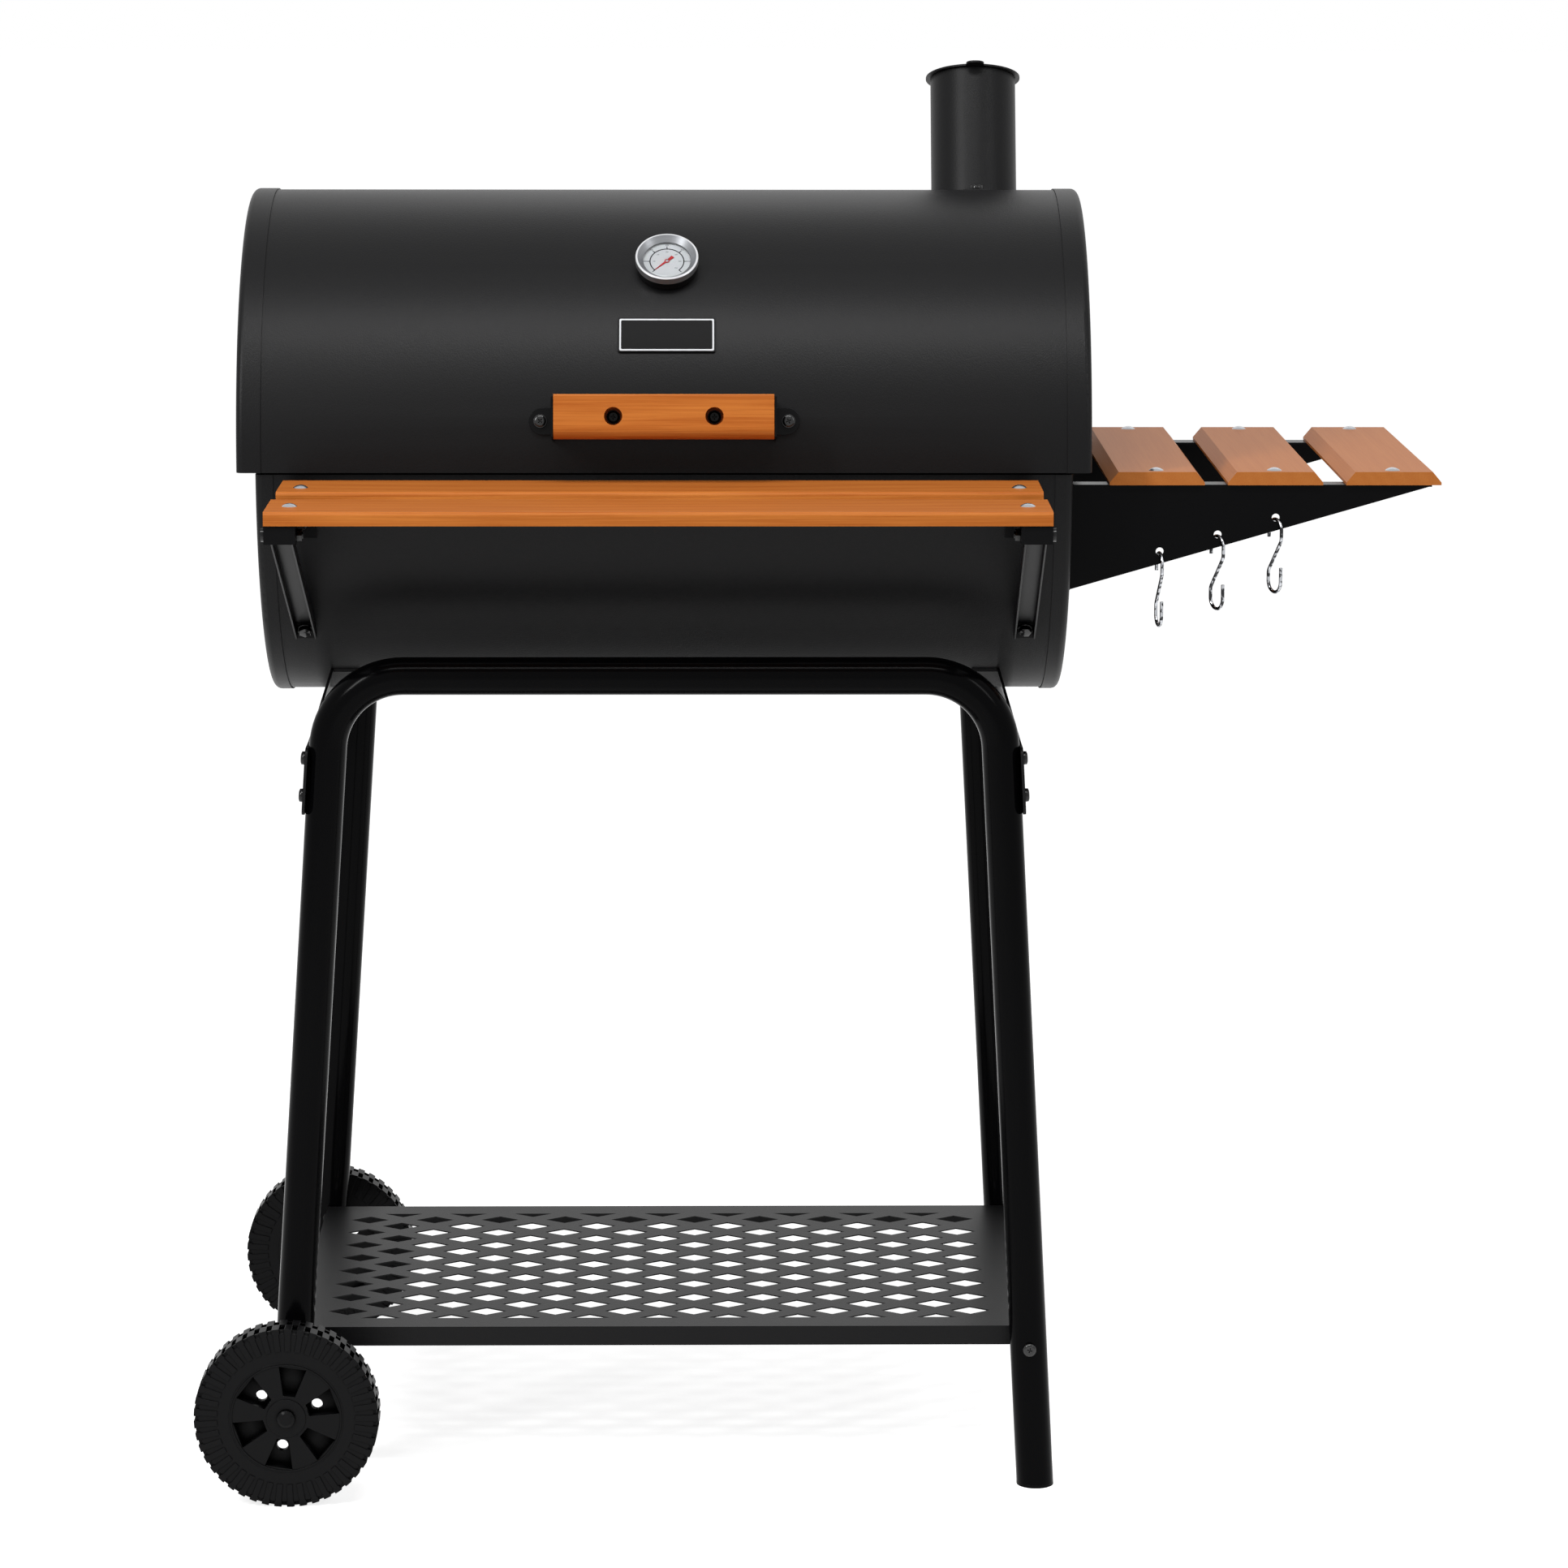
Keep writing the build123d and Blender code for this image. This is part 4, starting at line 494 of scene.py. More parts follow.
# The next three finishes paint shade into their pockets: the tyres' treads, the hubs' pockets and
# screw heads sunk in holes.
TYRE_RUBBER = Coat(
    "tyre_rubber", srgb(11, 11, 12), 0.38, specular=0.09, edge=0.9 * MM, painted_shade_reach=9 * MM
)
BLACK_PLASTIC = Coat(
    "black_plastic", srgb(10, 10, 11), 0.3, specular=0.09, edge=0.9 * MM, painted_shade_reach=14 * MM
)
GRATE_ENAMEL = Coat(
    "grate_enamel", srgb(28, 28, 29), 0.35, specular=0.3, grain=0.2, grain_size=3 * MM
)
BLACK_STEEL = Coat(
    "black_steel", srgb(8, 8, 9), 0.12, specular=0.5, edge=0.3 * MM, painted_shade_reach=12 * MM
)
PLATE_SILVER = Coat("plate_silver", srgb(196, 198, 201), 0.5, metallic=0.1, specular=0.2)
FINISHES = {
    "black_coat": BLACK_COAT,
    "tube_paint": Coat("tube_paint", srgb(5, 5, 6), 0.16, specular=0.035),
    # The chrome wire's dark stripes are painted reflection.
    "chrome_wire": Coat("chrome_wire", srgb(186, 188, 192), 0.1, metallic=1.0, painted_reflection_size=4 * MM),
    "zinc_steel": Coat("zinc_steel", srgb(172, 174, 178), 0.26, metallic=1.0, grain=0.03),
    "chrome_trim": Brushed("chrome_trim", DIAL_MIDDLE, DIAL_WAY),
    "clear_glass": Glass("clear_glass"),
    "dial_face": Coat("dial_face", srgb(178, 180, 183), 0.45),
    "red_needle": Coat("red_needle", srgb(160, 26, 26), 0.35, specular=0.2),
    "stem_steel": Coat("stem_steel", srgb(180, 180, 182), 0.35, metallic=1.0),
    "plate_silver": PLATE_SILVER,
    "tyre_rubber": TYRE_RUBBER,
    "black_plastic": BLACK_PLASTIC,
    "grate_enamel": GRATE_ENAMEL,
    "black_steel": BLACK_STEEL,
}
CROSS_GRAIN = StainedWood("stained_wood", Run.ACROSS)
DEEP_GRAIN = StainedWood(
    "stained_wood_deep",
    Run.FRONT_TO_BACK,
    pale=srgb(183, 113, 57),
    dark=srgb(172, 101, 47),
    sheen=0.05,
)
# A glossier copy of the black coat for the side brackets, its colour and shine painted darker as
# shade.
SHADED_GLOSS_BLACK = Coat("shaded_gloss_black", srgb(6, 6, 7), 0.24, specular=0.05, edge=0.5 * MM)
# A darker, duller copy of the black coat for the arms and struts: painted shade, with more painted
# shade in their channels.
SHADED_SHEET_BLACK = Coat(
    "shaded_sheet_black", srgb(10, 10, 11), 0.34, specular=0.06, edge=0.5 * MM, painted_shade_reach=14 * MM
)
BADGE_BLACK = Coat(
    "badge_black", srgb(12, 12, 13), 0.5, specular=0.08, grain=0.3, grain_size=0.8 * MM
)
# Nodes whose finish differs from the one that their slot gives.
BY_NODE = {
    "badge_panel": BADGE_BLACK,
    "badge_plate": BADGE_BLACK,
    "table_arms": SHADED_SHEET_BLACK,
    "table_struts": SHADED_SHEET_BLACK,
    "side_slat_1": DEEP_GRAIN,
    "side_slat_2": DEEP_GRAIN,
    "side_slat_3": DEEP_GRAIN,
    "side_bracket_front": SHADED_GLOSS_BLACK,
    "side_bracket_rear": SHADED_GLOSS_BLACK,
    "handle_strap": Coat("strap_black", srgb(7, 7, 8), 0.22, specular=0.1, edge=0.7 * MM),
}


@dataclass
class Body:
    """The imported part's own pieces, dressed in their finishes."""

    made: dict[str, bpy.types.Material] = field(default_factory=dict)

    def finish_of(self, slot: str, node: str) -> bpy.types.Material:
        """Give the material for a slot, building it the first time.

        Args:
            slot: the record's material slot.
            node: the node that takes it.

        Returns:
            The material.
        """
        recipe = BY_NODE.get(node) or FINISHES.get(slot, CROSS_GRAIN)
        if recipe.name not in self.made:
            self.made[recipe.name] = recipe.material()
        return self.made[recipe.name]

    def dress(self) -> None:
        """Put every node's finish in its own slots."""
        slots = {row["node"]: row["material_slot"] for row in frame["record"]["subparts"]}
        for name, node in frame["nodes"].items():
            finish = self.finish_of(slots[name], name)
            for slot in node.material_slots:
                slot.material = finish
            log.info("%s dressed in %s", name, finish.name)


BODY = Body()


def clear() -> None:
    """Leave nothing selected, in object mode."""
    if bpy.context.mode != "OBJECT":
        bpy.ops.object.mode_set(mode="OBJECT")
    bpy.ops.object.select_all(action="DESELECT")


def hold(*pieces: bpy.types.Object) -> None:
    """Select just these pieces, in object mode, with the first of them active."""
    clear()
    for piece in pieces:
        piece.select_set(True)
    bpy.context.view_layer.objects.active = pieces[0]


def settle() -> bpy.types.Object:
    """Move the selected pieces' places into their meshes.

    Returns:
        The active piece.
    """
    bpy.ops.object.transform_apply(location=True, rotation=True, scale=True)
    return bpy.context.object


def pick(
    piece: bpy.types.Object, kind: str, test: Callable[[Vector, Vector], bool]
) -> None:
    """Select faces or edges of a piece by their place, and enter edit mode.

    Args:
        piece: the piece.
        kind: "FACE" or "EDGE".
        test: tells from a middle and a normal (a face) or direction (an edge) whether it is taken.
    """
    hold(piece)
    bpy.context.tool_settings.mesh_select_mode = (False, kind == "EDGE", kind == "FACE")
    mesh = piece.data
    for part in (*mesh.vertices, *mesh.edges, *mesh.polygons):
        part.select = False
    if kind == "FACE":
        for face in mesh.polygons:
            face.select = test(face.center, face.normal)
    else:
        for edge in mesh.edges:
            start, end = (mesh.vertices[i].co for i in edge.vertices)
            edge.select = test((start + end) / 2, (end - start).normalized())
    bpy.ops.object.mode_set(mode="EDIT")


def on_top(middle: Vector, normal: Vector) -> bool:
    """Whether a face looks up."""
    return normal.z > ALONG


def everything(piece: bpy.types.Object) -> None:
    """Enter edit mode with all of a piece selected."""
    pick(piece, "FACE", lambda middle, normal: True)


def flat(width: float, depth: float, place: Vector | Point, turned: Point) -> bpy.types.Object:
    """Add a flat rectangle to be shaped further.

    Args:
        width: its size along x.
        depth: its size along y.
        place: its middle.
        turned: its turn about each axis.

    Returns:
        The rectangle, its place in its mesh.
    """
    clear()
    bpy.ops.mesh.primitive_plane_add(size=1, location=place, rotation=turned)
    bpy.context.object.scale = (width, depth, 1)
    return settle()


def block(size: Point, middle: Point) -> bpy.types.Object:
    """Add a block to be shaped further.

    Args:
        size: its size along each axis.
        middle: its middle.

    Returns:
        The block, its place in its mesh.
    """
    clear()
    bpy.ops.mesh.primitive_cube_add(size=1, location=middle, scale=size)
    return settle()


def post(sides: int, radius: float, height: float, foot: float = 0.0) -> bpy.types.Object:
    """Add an upright post over the origin, to be shaped further.

    Args:
        sides: how many sides it has.
        radius: its radius at their corners.
        height: its height.
        foot: the height of its lower end.

    Returns:
        The post, its place in its mesh.
    """
    clear()
    bpy.ops.mesh.primitive_cylinder_add(
        vertices=sides, radius=radius, depth=height, location=(0, 0, foot + height / 2)
    )
    return settle()


def close_up(piece: bpy.types.Object) -> None:
    """Merge a piece's doubles, fill its open ends and turn its faces outward."""
    everything(piece)
    bpy.ops.mesh.remove_doubles(threshold=0.002 * MM)
    bpy.ops.mesh.select_all(action="SELECT")
    bpy.ops.mesh.fill_holes(sides=0)
    bpy.ops.mesh.select_all(action="SELECT")
    bpy.ops.mesh.normals_make_consistent(inside=False)
    clear()


def unite(pieces: list[bpy.types.Object]) -> bpy.types.Object:
    """Join pieces into the first of them.

    Args:
        pieces: the pieces.

    Returns:
        The joined piece, the only one selected.
    """
    hold(*pieces)
    bpy.ops.object.join()
    return bpy.context.object


def copies(piece: bpy.types.Object, places: list[Matrix]) -> bpy.types.Object:
    """Repeat a piece, each time with its own mesh, and join the copies.

    Args:
        piece: the piece, modelled at the origin; it is used up.
        places: where each copy goes.

    Returns:
        The joined piece, at the origin with its places in its mesh.
    """
    made = []
    for place in places:
        twin = piece.copy()
        twin.data = piece.data.copy()
        bpy.context.collection.objects.link(twin)
        twin.matrix_world = place
        made.append(twin)
    bpy.data.objects.remove(piece)
    unite(made)
    return settle()


def fit(piece: bpy.types.Object, name: str, body: str, slot: str, smooth: float = 35.0) -> None:
    """Name, smooth, dress and fasten a finished piece.

    Args:
        piece: the finished piece.
        name: its name.
        body: the body it moves with.
        slot: the record's slot that its finish comes from.
        smooth: faces that meet at less than this many degrees are shaded as one.
    """
    hold(piece)
    settle()
    bpy.ops.object.shade_smooth_by_angle(angle=math.radians(smooth))
    piece.name = name
    piece.data.name = name
    piece.data.materials.clear()
    piece.data.materials.append(BODY.finish_of(slot, name))
    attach(piece, body)
    log.info("%s made, %d faces, on %s", name, len(piece.data.polygons), body)


def seat(point: Vector, out: Vector) -> Matrix:
    """Turn and move a piece modelled at the origin, its z the way out, to a place on the part.

    Args:
        point: the place.
        out: the way out of the surface there, which isn't along x.

    Returns:
        The placing matrix.
    """
    up = out.normalized().cross(Vector((1, 0, 0))).normalized()
    across = up.cross(out.normalized())
    turned = Matrix((across, up, out.normalized())).transposed()
    return Matrix.Translation(point) @ turned.to_4x4()


class Barrel:
    """Where the barrel lies, read from the lid's packed ends."""

    def __init__(self) -> None:
        """Read the axis from the flanges' bounds."""
        low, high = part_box("lid_end_right")
        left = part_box("lid_end_left")[0]
        radius = (high.y - low.y) / 2
        self.axis = Vector(((left.x + high.x) / 2, (low.y + high.y) / 2, high.z - radius))

    def angle(self, point: Vector) -> float:
        """The angle of a point above the barrel's front horizontal, in radians."""
        return math.atan2(point.z - self.axis.z, self.axis.y - point.y)

    def out(self, angle: float) -> Vector:
        """The way outward at an angle above the barrel's front horizontal."""
        return Vector((0, -math.cos(angle), math.sin(angle)))

    def sheet(
        self, width: float, middle: float, inner: float, thick: float, arc: tuple[float, float]
    ) -> bpy.types.Object:
        """Roll a sheet that follows the barrel.

        Args:
            width: its size along the barrel.
            middle: the x of its middle.
            inner: its inner radius.
            thick: its thickness.
            arc: its lower and upper angle.

        Returns:
            The sheet.
        """
        start, end = arc
        centre = self.axis + self.out(start) * (inner + thick / 2)
        centre.x = middle
        rolled = flat(width, thick, centre, (math.pi - start, 0, 0))
        everything(rolled)
        bpy.ops.mesh.spin(steps=8, angle=end - start, center=self.axis, axis=(1, 0, 0))
        close_up(rolled)
        return rolled


BARREL = Barrel()


@dataclass
class Badge:
    """The bare plate on the lid: a silver border on it and a dark panel within.

    `rim` is the plate's own edge outside the border, and `sunk` how deep both lie in the plate.
    """

    rim: float = 1.3 * MM
    border: float = 1.5 * MM
    sunk: float = 0.9 * MM
    border_thick: float = 1.1 * MM
    panel_thick: float = 1.25 * MM
    corner: float = 1.2 * MM
    near: float = 0.01 * MM
    near_turn: float = 0.001

    def build(self) -> None:
        """Roll the border and the panel to the lid."""
        points = [vertex.co for vertex in frame["nodes"]["badge_plate"].data.vertices]
        low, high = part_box("badge_plate")
        middle = (low.x + high.x) / 2
        face = max((point - BARREL.axis).yz.length for point in points)
        angles = [BARREL.angle(point) for point in points]
        bottom, top = min(angles), max(angles)
        for name, inset, thick, slot in (
            ("badge_border", self.rim, self.border_thick, "plate_silver"),
            ("badge_panel", self.rim + self.border, self.panel_thick, "black_plastic"),
        ):
            turn = inset / face
            ends = (bottom + turn, top - turn)
            width = high.x - low.x - 2 * inset
            plate = BARREL.sheet(width, middle, face - self.sunk, thick, ends)
            edge = (high.x - low.x) / 2 - inset

            def at_corner(point: Vector, way: Vector) -> bool:
                """Whether an edge is one of the plate's four short upright ones."""
                at_side = abs(abs(point.x - middle) - edge) < self.near and abs(way.x) < SQUARE
                angle = BARREL.angle(point)
                return at_side and min(abs(angle - end) for end in ends) < self.near_turn

            pick(plate, "EDGE", at_corner)
            bpy.ops.mesh.bevel(offset=self.corner, segments=4, affect="EDGES")
            fit(plate, name, "lid", slot)


@dataclass
class Dial:
    """The thermometer's printed scale and its needle's boss.

    The numbers' gaps are measured from the ends of the marks and from the arc. The rises are
    measured outward from the middle of the dial's box. `marks` are angles in degrees.
    """

    arc_radius: float = 15.2 * MM
    line: float = 1.0 * MM
    ink: float = 0.06 * MM
    tick: float = 3.2 * MM
    tick_taper: float = 0.6
    marks: tuple[int, ...] = (225, 180, 135, 90, 45, 0, -45)
    outer_numbers: tuple[str, ...] = ("", "200", "300", "400", "500", "600", "")
    outer_gap: float = 1.6 * MM
    outer_size: float = 2.1 * MM
    inner_numbers: tuple[str, ...] = ("50", "100", "150", "200", "250", "300", "350")
    inner_gap: float = 3.6 * MM
    inner_size: float = 1.7 * MM
    scale_rise: float = 0.41 * MM
    boss_rise: float = 0.9 * MM
    boss_radius: float = 1.5 * MM
    boss_height: float = 0.9 * MM
    boss_crown: float = 0.3

    def arc(self) -> bpy.types.Object:
        """Draw the scale's arc.

        Returns:
            The arc, flat on the origin's plane.
        """
        start = math.radians(self.marks[-1])
        place = (self.arc_radius * math.cos(start), self.arc_radius * math.sin(start), self.ink / 2)
        arc = flat(self.line, self.ink, place, (math.pi / 2, 0, start))
        everything(arc)
        sweep = math.radians(self.marks[0] - self.marks[-1])
        bpy.ops.mesh.spin(steps=54, angle=sweep, center=(0, 0, 0), axis=(0, 0, -1))
        close_up(arc)
        return arc

    def ticks(self) -> bpy.types.Object:
        """Draw the scale's marks, each a little wider at its foot.

        Returns:
            The marks as one piece.
        """
        middle = (self.arc_radius + self.tick / 2, 0, self.ink / 2)
        mark = block((self.tick, self.line, self.ink), middle)
        pick(mark, "FACE", lambda point, normal: normal.x > ALONG)
        bpy.ops.transform.resize(value=(1, self.tick_taper, 1))
        clear()
        return copies(mark, [Matrix.Rotation(math.radians(a), 4, "Z") for a in self.marks])

    def number(self, text: str, angle: int, radius: float, size: float) -> bpy.types.Object:
        """Write one number of the scale.

        Args:
            text: the number.
            angle: its place on the dial in degrees.
            radius: its distance from the middle.
            size: the height of its figures.

        Returns:
            The number as a mesh.
        """
        clear()
        turn = math.radians(angle)
        place = (radius * math.cos(turn), radius * math.sin(turn), 0)
        bpy.ops.object.text_add(location=place)
        words = bpy.context.object
        words.data.body = text
        words.data.size = size
        words.data.align_x = "CENTER"
        words.data.align_y = "CENTER"
        words.data.extrude = self.ink
        bpy.ops.object.convert(target="MESH")
        return bpy.context.object

    def boss(self) -> bpy.types.Object:
        """Shape the boss, crowned at its upper end.

        Returns:
            The boss, its middle at the origin.
        """
        boss = post(20, self.boss_radius, self.boss_height, -self.boss_height / 2)
        pick(boss, "FACE", on_top)
        bpy.ops.mesh.inset(thickness=self.boss_radius * self.boss_crown)
        bpy.ops.transform.translate(value=(0, 0, self.boss_height * self.boss_crown))
        clear()
        return boss

    def build(self) -> None:
        """Print the scale on the dial and put the boss on the needle."""
        low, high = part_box("thermometer_dial")
        centre = (low + high) / 2
        out = BARREL.out(BARREL.angle(centre))
        outside = self.arc_radius + self.tick + self.outer_gap
        inside = self.arc_radius - self.inner_gap
        pieces = [self.arc(), self.ticks()]
        for angle, outer, inner in zip(self.marks, self.outer_numbers, self.inner_numbers):
            if outer:
                pieces.append(self.number(outer, angle, outside, self.outer_size))
            pieces.append(self.number(inner, angle, inside, self.inner_size))
        scale = unite(pieces)
        scale.matrix_world = seat(centre + out * self.scale_rise, out)
        fit(scale, "dial_scale", "lid", "black_coat")

        boss = self.boss()
        boss.matrix_world = seat(centre + out * self.boss_rise, out)
        fit(boss, "needle_boss", "needle", "chrome_trim")


class Drive(Enum):
    """The shape of a fastener's head."""

    CROSS = "cross recess"
    HEX = "hexagon nut on a washer"


@dataclass
class Heads:
    """The fasteners' shaped heads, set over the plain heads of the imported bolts.

    `dome` and the two rounds are shares of the head's, the nut's and the washer's height, and
    `recess_taper` what the recess narrows to at its foot. A plain head whose radius is smaller
    than a screw's by `nut_gap` is a nut's. Each head is turned by `turned_by` radians more than the
    one before it, and `smooth` is the angle in degrees under which its faces are shaded as one.
    """

    cross_radius: float = 6.15 * MM
    cross_height: float = 4.3 * MM
    dome: float = 0.62
    recess: float = 1.7 * MM
    recess_half: float = 2.9 * MM
    recess_width: float = 1.2 * MM
    recess_taper: Point = (0.6, 0.7, 1.0)
    hex_radius: float = 5.9 * MM
    hex_height: float = 3.7 * MM
    hex_round: float = 0.16
    washer_radius: float = 7.4 * MM
    washer_height: float = 1.0 * MM
    washer_round: float = 0.3
    nut_gap: float = 0.35 * MM
    turned_by: float = 0.6
    smooth: float = 50.0

    def cross(self) -> bpy.types.Object:
        """Shape a pan head with a cross recess.

        Returns:
            The head, standing on the origin.
        """
        head = post(28, self.cross_radius, self.cross_height)
        top = self.cross_height * 0.99
        pick(head, "EDGE", lambda point, way: point.z > top and abs(way.z) < SQUARE)
        bpy.ops.mesh.bevel(offset=self.cross_height * self.dome, segments=5, affect="EDGES")
        size = (2 * self.recess_half, self.recess_width, 2 * self.recess)
        cutter = block(size, (0, 0, self.cross_height))
        pick(cutter, "FACE", lambda point, normal: normal.z < -ALONG)
        bpy.ops.transform.resize(value=self.recess_taper)
        clear()
        slot = copies(cutter, [Matrix.Rotation(turn, 4, "Z") for turn in (0.0, math.pi / 2)])
        cut = head.modifiers.new("recess", "BOOLEAN")
        cut.operation = "DIFFERENCE"
        cut.object = slot
        cut.solver = "EXACT"
        cut.use_self = True
        hold(head)
        bpy.ops.object.modifier_apply(modifier="recess")
        bpy.data.objects.remove(slot)
        return head

    def hexagon(self) -> bpy.types.Object:
        """Shape a hexagon nut on a washer.

        Returns:
            The nut, standing on the origin.
        """
        washer = post(24, self.washer_radius, self.washer_height)
        pick(washer, "FACE", on_top)
        offset = self.washer_height * self.washer_round
        bpy.ops.mesh.bevel(offset=offset, segments=2, affect="EDGES")
        nut = post(6, self.hex_radius, self.hex_height, self.washer_height)
        pick(nut, "FACE", on_top)
        bpy.ops.mesh.bevel(offset=self.hex_height * self.hex_round, segments=2, affect="EDGES")
        return unite([nut, washer])

    def seats(self, node: str) -> list[tuple[Vector, Vector, float]]:
        """Find the heads among a node's separate bolts, always in the same order.

        Args:
            node: the node.

        Returns:
            The middle of each head's foot, the way it faces and its radius.
        """
        mesh = bmesh.new()
        mesh.from_mesh(frame["nodes"][node].data)
        bmesh.ops.remove_doubles(mesh, verts=mesh.verts, dist=0.001 * MM)
        reached: set[bmesh.types.BMVert] = set()
        found = []
        for first in mesh.verts:
            if first in reached:
                continue
            reached.add(first)
            chain, island = [first], []
            while chain:
                vertex = chain.pop()
                island.append(vertex.co.copy())
                for edge in vertex.link_edges:
                    other = edge.other_vert(vertex)
                    if other not in reached:
                        reached.add(other)
                        chain.append(other)
            head = self.head_of(island)
            if head:
                found.append(head)
        mesh.free()
        return found

    def head_of(self, island: list[Vector]) -> tuple[Vector, Vector, float] | None:
        """Find one bolt's head: its wider end, and the lowest part of that end's rim.

        Args:
            island: the bolt's points.

        Returns:
            The middle of the head's foot, the way it faces and its radius, or None for a washer.
        """
        shortest_bolt, end_depth, rim_depth, head_depth = 6 * MM, 0.05 * MM, 0.1 * MM, 4 * MM
        points = np.array(island)
        middle = points.mean(0)
        spread, ways = np.linalg.eigh(np.cov((points - middle).T))
        odd = 0 if abs(spread[0] - spread[1]) > abs(spread[1] - spread[2]) else 2
        way = ways[:, odd]
        along = (points - middle) @ way
        off = np.linalg.norm(points - middle - np.outer(along, way), axis=1)
        if along.max() - along.min() < shortest_bolt:
            return None
        ends = []
        for sign in (1, -1):
            tip = along * sign > (along * sign).max() - end_depth
            ends.append((off[tip].max(), sign))
        radius, sign = max(ends)
        rim = (off > radius - rim_depth) & (along * sign > (along * sign).max() - head_depth)
        foot = (along[rim] * sign).min()
        return Vector(middle + way * sign * foot), Vector(way * sign), float(radius)

    def build(self) -> None:
        """Cover the plain heads of the screws and the struts' nuts."""
        rows = (("lid_screws", "lid"), ("cart_screws", "frame"), ("frame_bolts", "frame"))
        shapes = {Drive.CROSS: self.cross, Drive.HEX: self.hexagon}
        sideways = 0.7
        for node, body in rows:
            places: dict[Drive, list[Matrix]] = {drive: [] for drive in Drive}
            for foot, way, radius in self.seats(node):
                drive = Drive.HEX if radius < self.cross_radius - self.nut_gap else Drive.CROSS
                if node == "frame_bolts" and abs(way.x) > sideways:
                    continue
                turn = self.turned_by * len(places[drive])
                places[drive].append(seat(foot, way) @ Matrix.Rotation(turn, 4, "Z"))
            for drive, spots in places.items():
                log.info("%s: %d of %s", node, len(spots), drive.value)
                if spots:
                    name = f"{node}_{drive.name.lower()}"
                    fit(copies(shapes[drive](), spots), name, body, "black_steel", self.smooth)


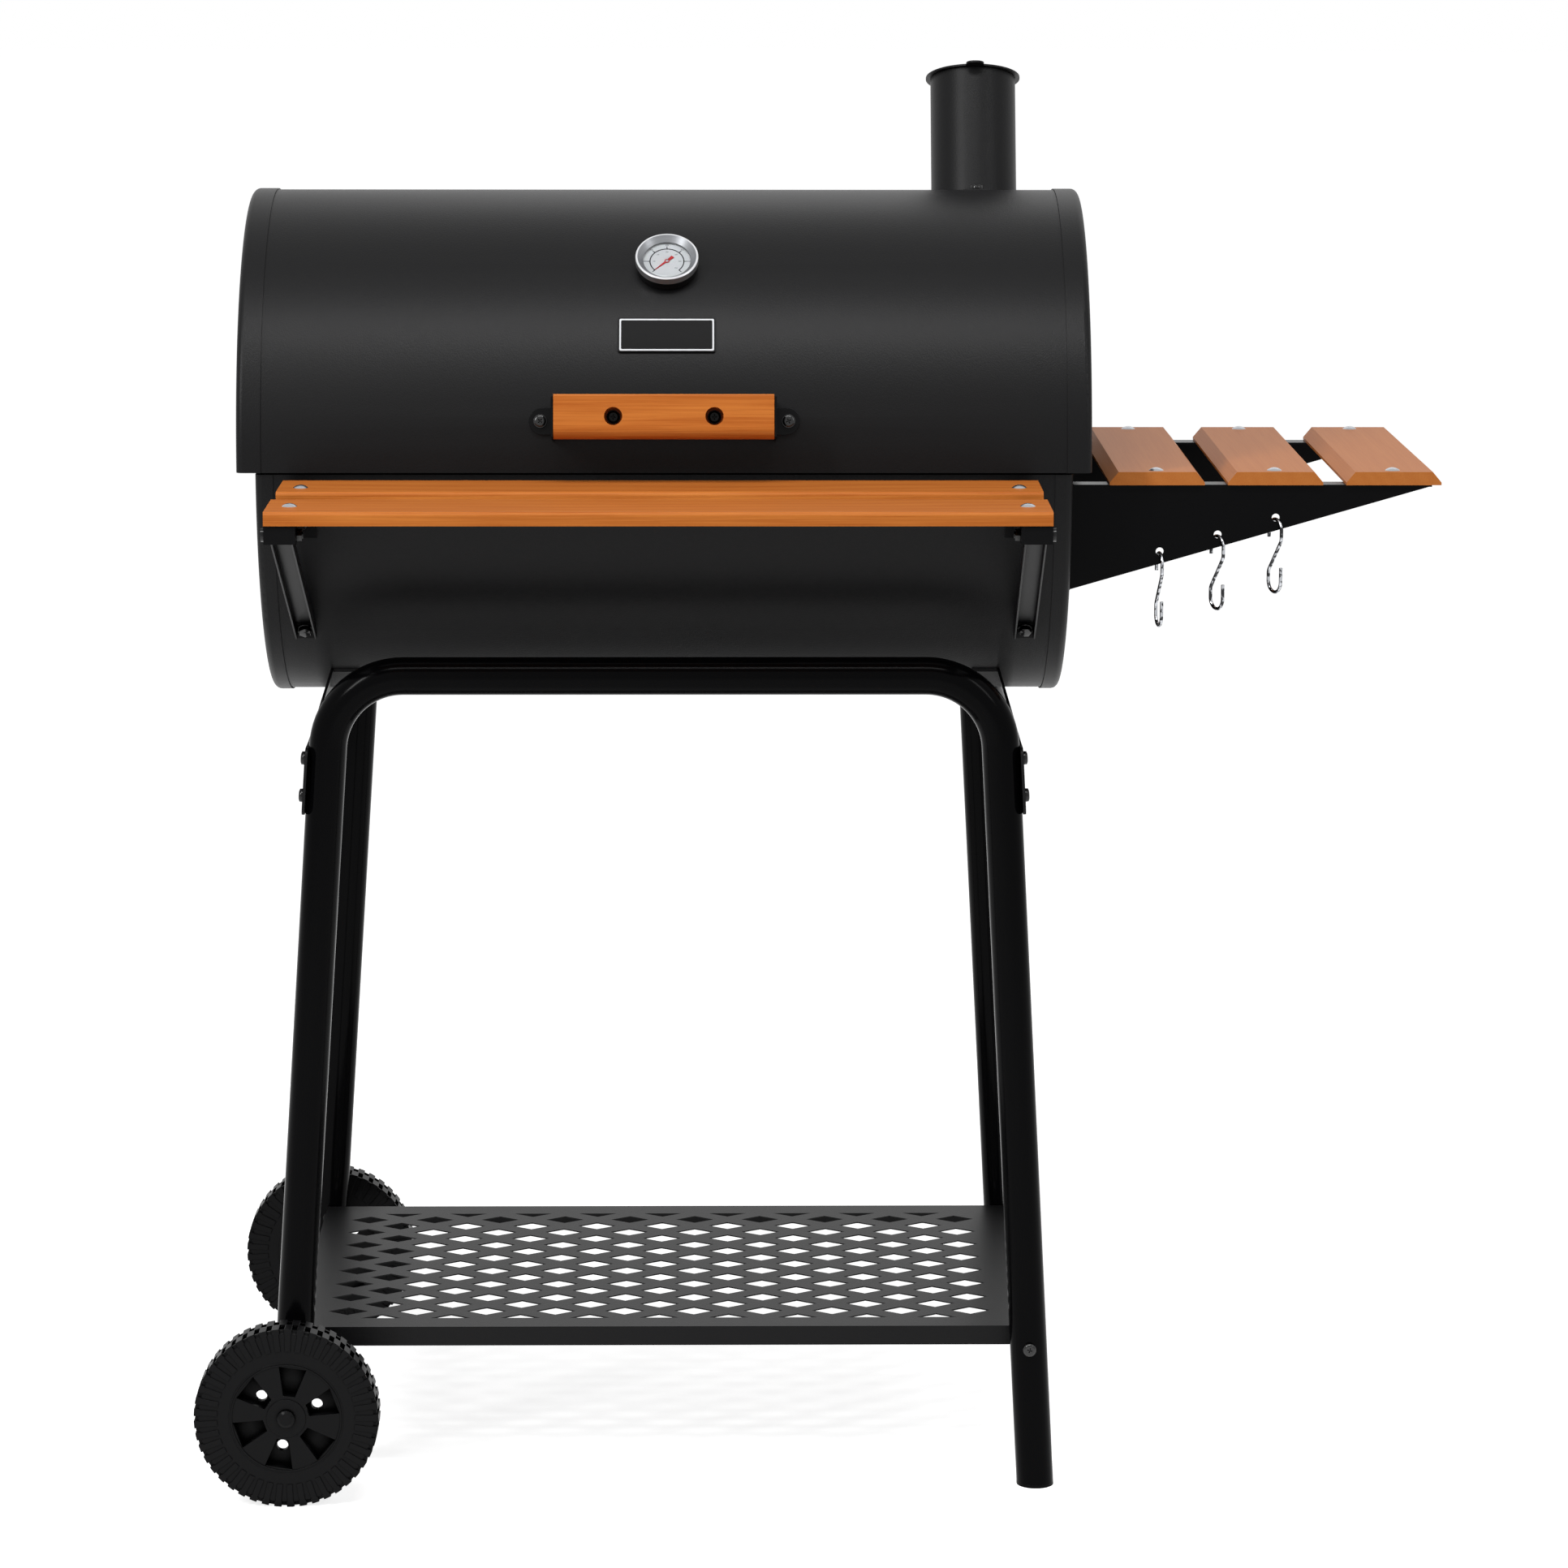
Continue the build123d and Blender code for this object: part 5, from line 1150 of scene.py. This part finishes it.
@dataclass(frozen=True)
class Studio:
    """A pale floor, a white surround and soft lamps."""

    floor_radius: float = 30.0
    floor_colour: Colour = (0.8, 0.8, 0.8)
    floor_glow: float = 0.79
    surround: float = 0.27

    def seen_directly(self, nodes: Nodes) -> Socket:
        """Tell whether a ray shows the surround: seen by the camera, in metal or through glass.

        Args:
            nodes: the tree to add to.

        Returns:
            1 for such a ray, else 0.
        """
        path = nodes.add("LightPath")
        shown = path.outputs["Is Camera Ray"]
        for name in ("Is Glossy Ray", "Is Transmission Ray"):
            shown = nodes.number("MAXIMUM", shown, path.outputs[name])
        return shown

    def floor(self) -> None:
        """Lay the floor."""
        clear()
        bpy.ops.mesh.primitive_circle_add(
            vertices=64, radius=self.floor_radius, fill_type="NGON"
        )
        floor = bpy.context.object
        floor.name = "floor"
        bpy.ops.object.mode_set(mode="EDIT")
        bpy.ops.mesh.inset(thickness=self.floor_radius * 0.6)
        clear()
        surface = Surface("floor")
        surface.set(Base_Color=self.floor_colour, Roughness=0.9, Specular_IOR_Level=0.0)
        surface.set(Emission_Color=(1.0, 1.0, 1.0))
        glow = surface.number("MULTIPLY", self.seen_directly(surface), self.floor_glow)
        surface.feed("Emission Strength", glow)
        floor.data.materials.append(surface.material)

    def world(self) -> None:
        """Fill the surround: plain light on the object, white where it is seen."""
        world = bpy.data.worlds.new("surround")
        bpy.context.scene.world = world
        world.use_nodes = True
        nodes = Nodes(world.node_tree)
        background = nodes.tree.nodes["Background"]
        background.inputs["Color"].default_value = (1, 1, 1, 1)
        level = nodes.span(self.seen_directly(nodes), 0.0, 1.0, self.surround)
        nodes.join(level, background.inputs["Strength"])

    def lamp(
        self, name: str, place: Point, aim: Point, size: tuple[float, float], power: float
    ) -> None:
        """Hang one soft lamp.

        Args:
            name: the lamp's name.
            place: where it hangs.
            aim: the point it faces.
            size: its width and height.
            power: its power in watts.
        """
        light = bpy.data.lights.new(name, "AREA")
        light.shape = "RECTANGLE"
        light.size, light.size_y = size
        light.energy = power
        holder = bpy.data.objects.new(name, light)
        bpy.context.collection.objects.link(holder)
        holder.location = place
        ahead = Vector(aim) - Vector(place)
        holder.rotation_euler = ahead.to_track_quat("-Z", "Y").to_euler()

    def light(self) -> None:
        """Hang the lamps."""
        lid = (-0.1, -0.15, 1.1)
        middle = (0.0, 0.0, 0.7)
        self.lamp("key", (-0.1, -1.5, 3.3), lid, (1.9, 0.4), 46)
        self.lamp("left", (-2.2, -2.4, 2.9), lid, (0.4, 1.5), 66)
        self.lamp("right", (2.7, -2.2, 2.9), lid, (0.4, 1.5), 20)
        self.lamp("back", (0.6, 2.6, 3.0), middle, (2.4, 1.2), 6)


@dataclass(frozen=True)
class Viewpoint:
    """The camera's place in metres, attitude in radians, and lens and sensor in millimetres."""

    place: Point = (-0.0952, -4.8062, 1.5156)
    down: float = 0.1824
    turn: float = 0.0141
    roll: float = 0.0018
    lens: float = 120.82
    sensor: float = 36.0

    def camera(self) -> None:
        """Put up the camera and make it the scene's own."""
        level = math.cos(self.down)
        ahead = Vector(
            (math.sin(self.turn) * level, math.cos(self.turn) * level, -math.sin(self.down))
        )
        right = ahead.cross(Vector((0, 0, 1))).normalized()
        up = right.cross(ahead)
        tilted = right * math.cos(self.roll) + up * math.sin(self.roll)
        up = up * math.cos(self.roll) - right * math.sin(self.roll)
        turned = Matrix((tilted, up, -ahead)).transposed()
        data = bpy.data.cameras.new("camera")
        data.lens = self.lens
        data.sensor_width = self.sensor
        holder = bpy.data.objects.new("camera", data)
        bpy.context.collection.objects.link(holder)
        holder.matrix_world = Matrix.Translation(self.place) @ turned.to_4x4()
        bpy.context.scene.camera = holder


def main() -> None:
    """Dress the part, build the fittings and set up the studio."""
    logging.basicConfig(level=logging.INFO)
    bpy.context.scene.view_settings.view_transform = "Standard"
    BODY.dress()
    for assembly in (Badge(), Dial(), Heads()):
        assembly.build()
    studio = Studio()
    studio.floor()
    studio.world()
    studio.light()
    Viewpoint().camera()


if __name__ == "__main__":
    main()
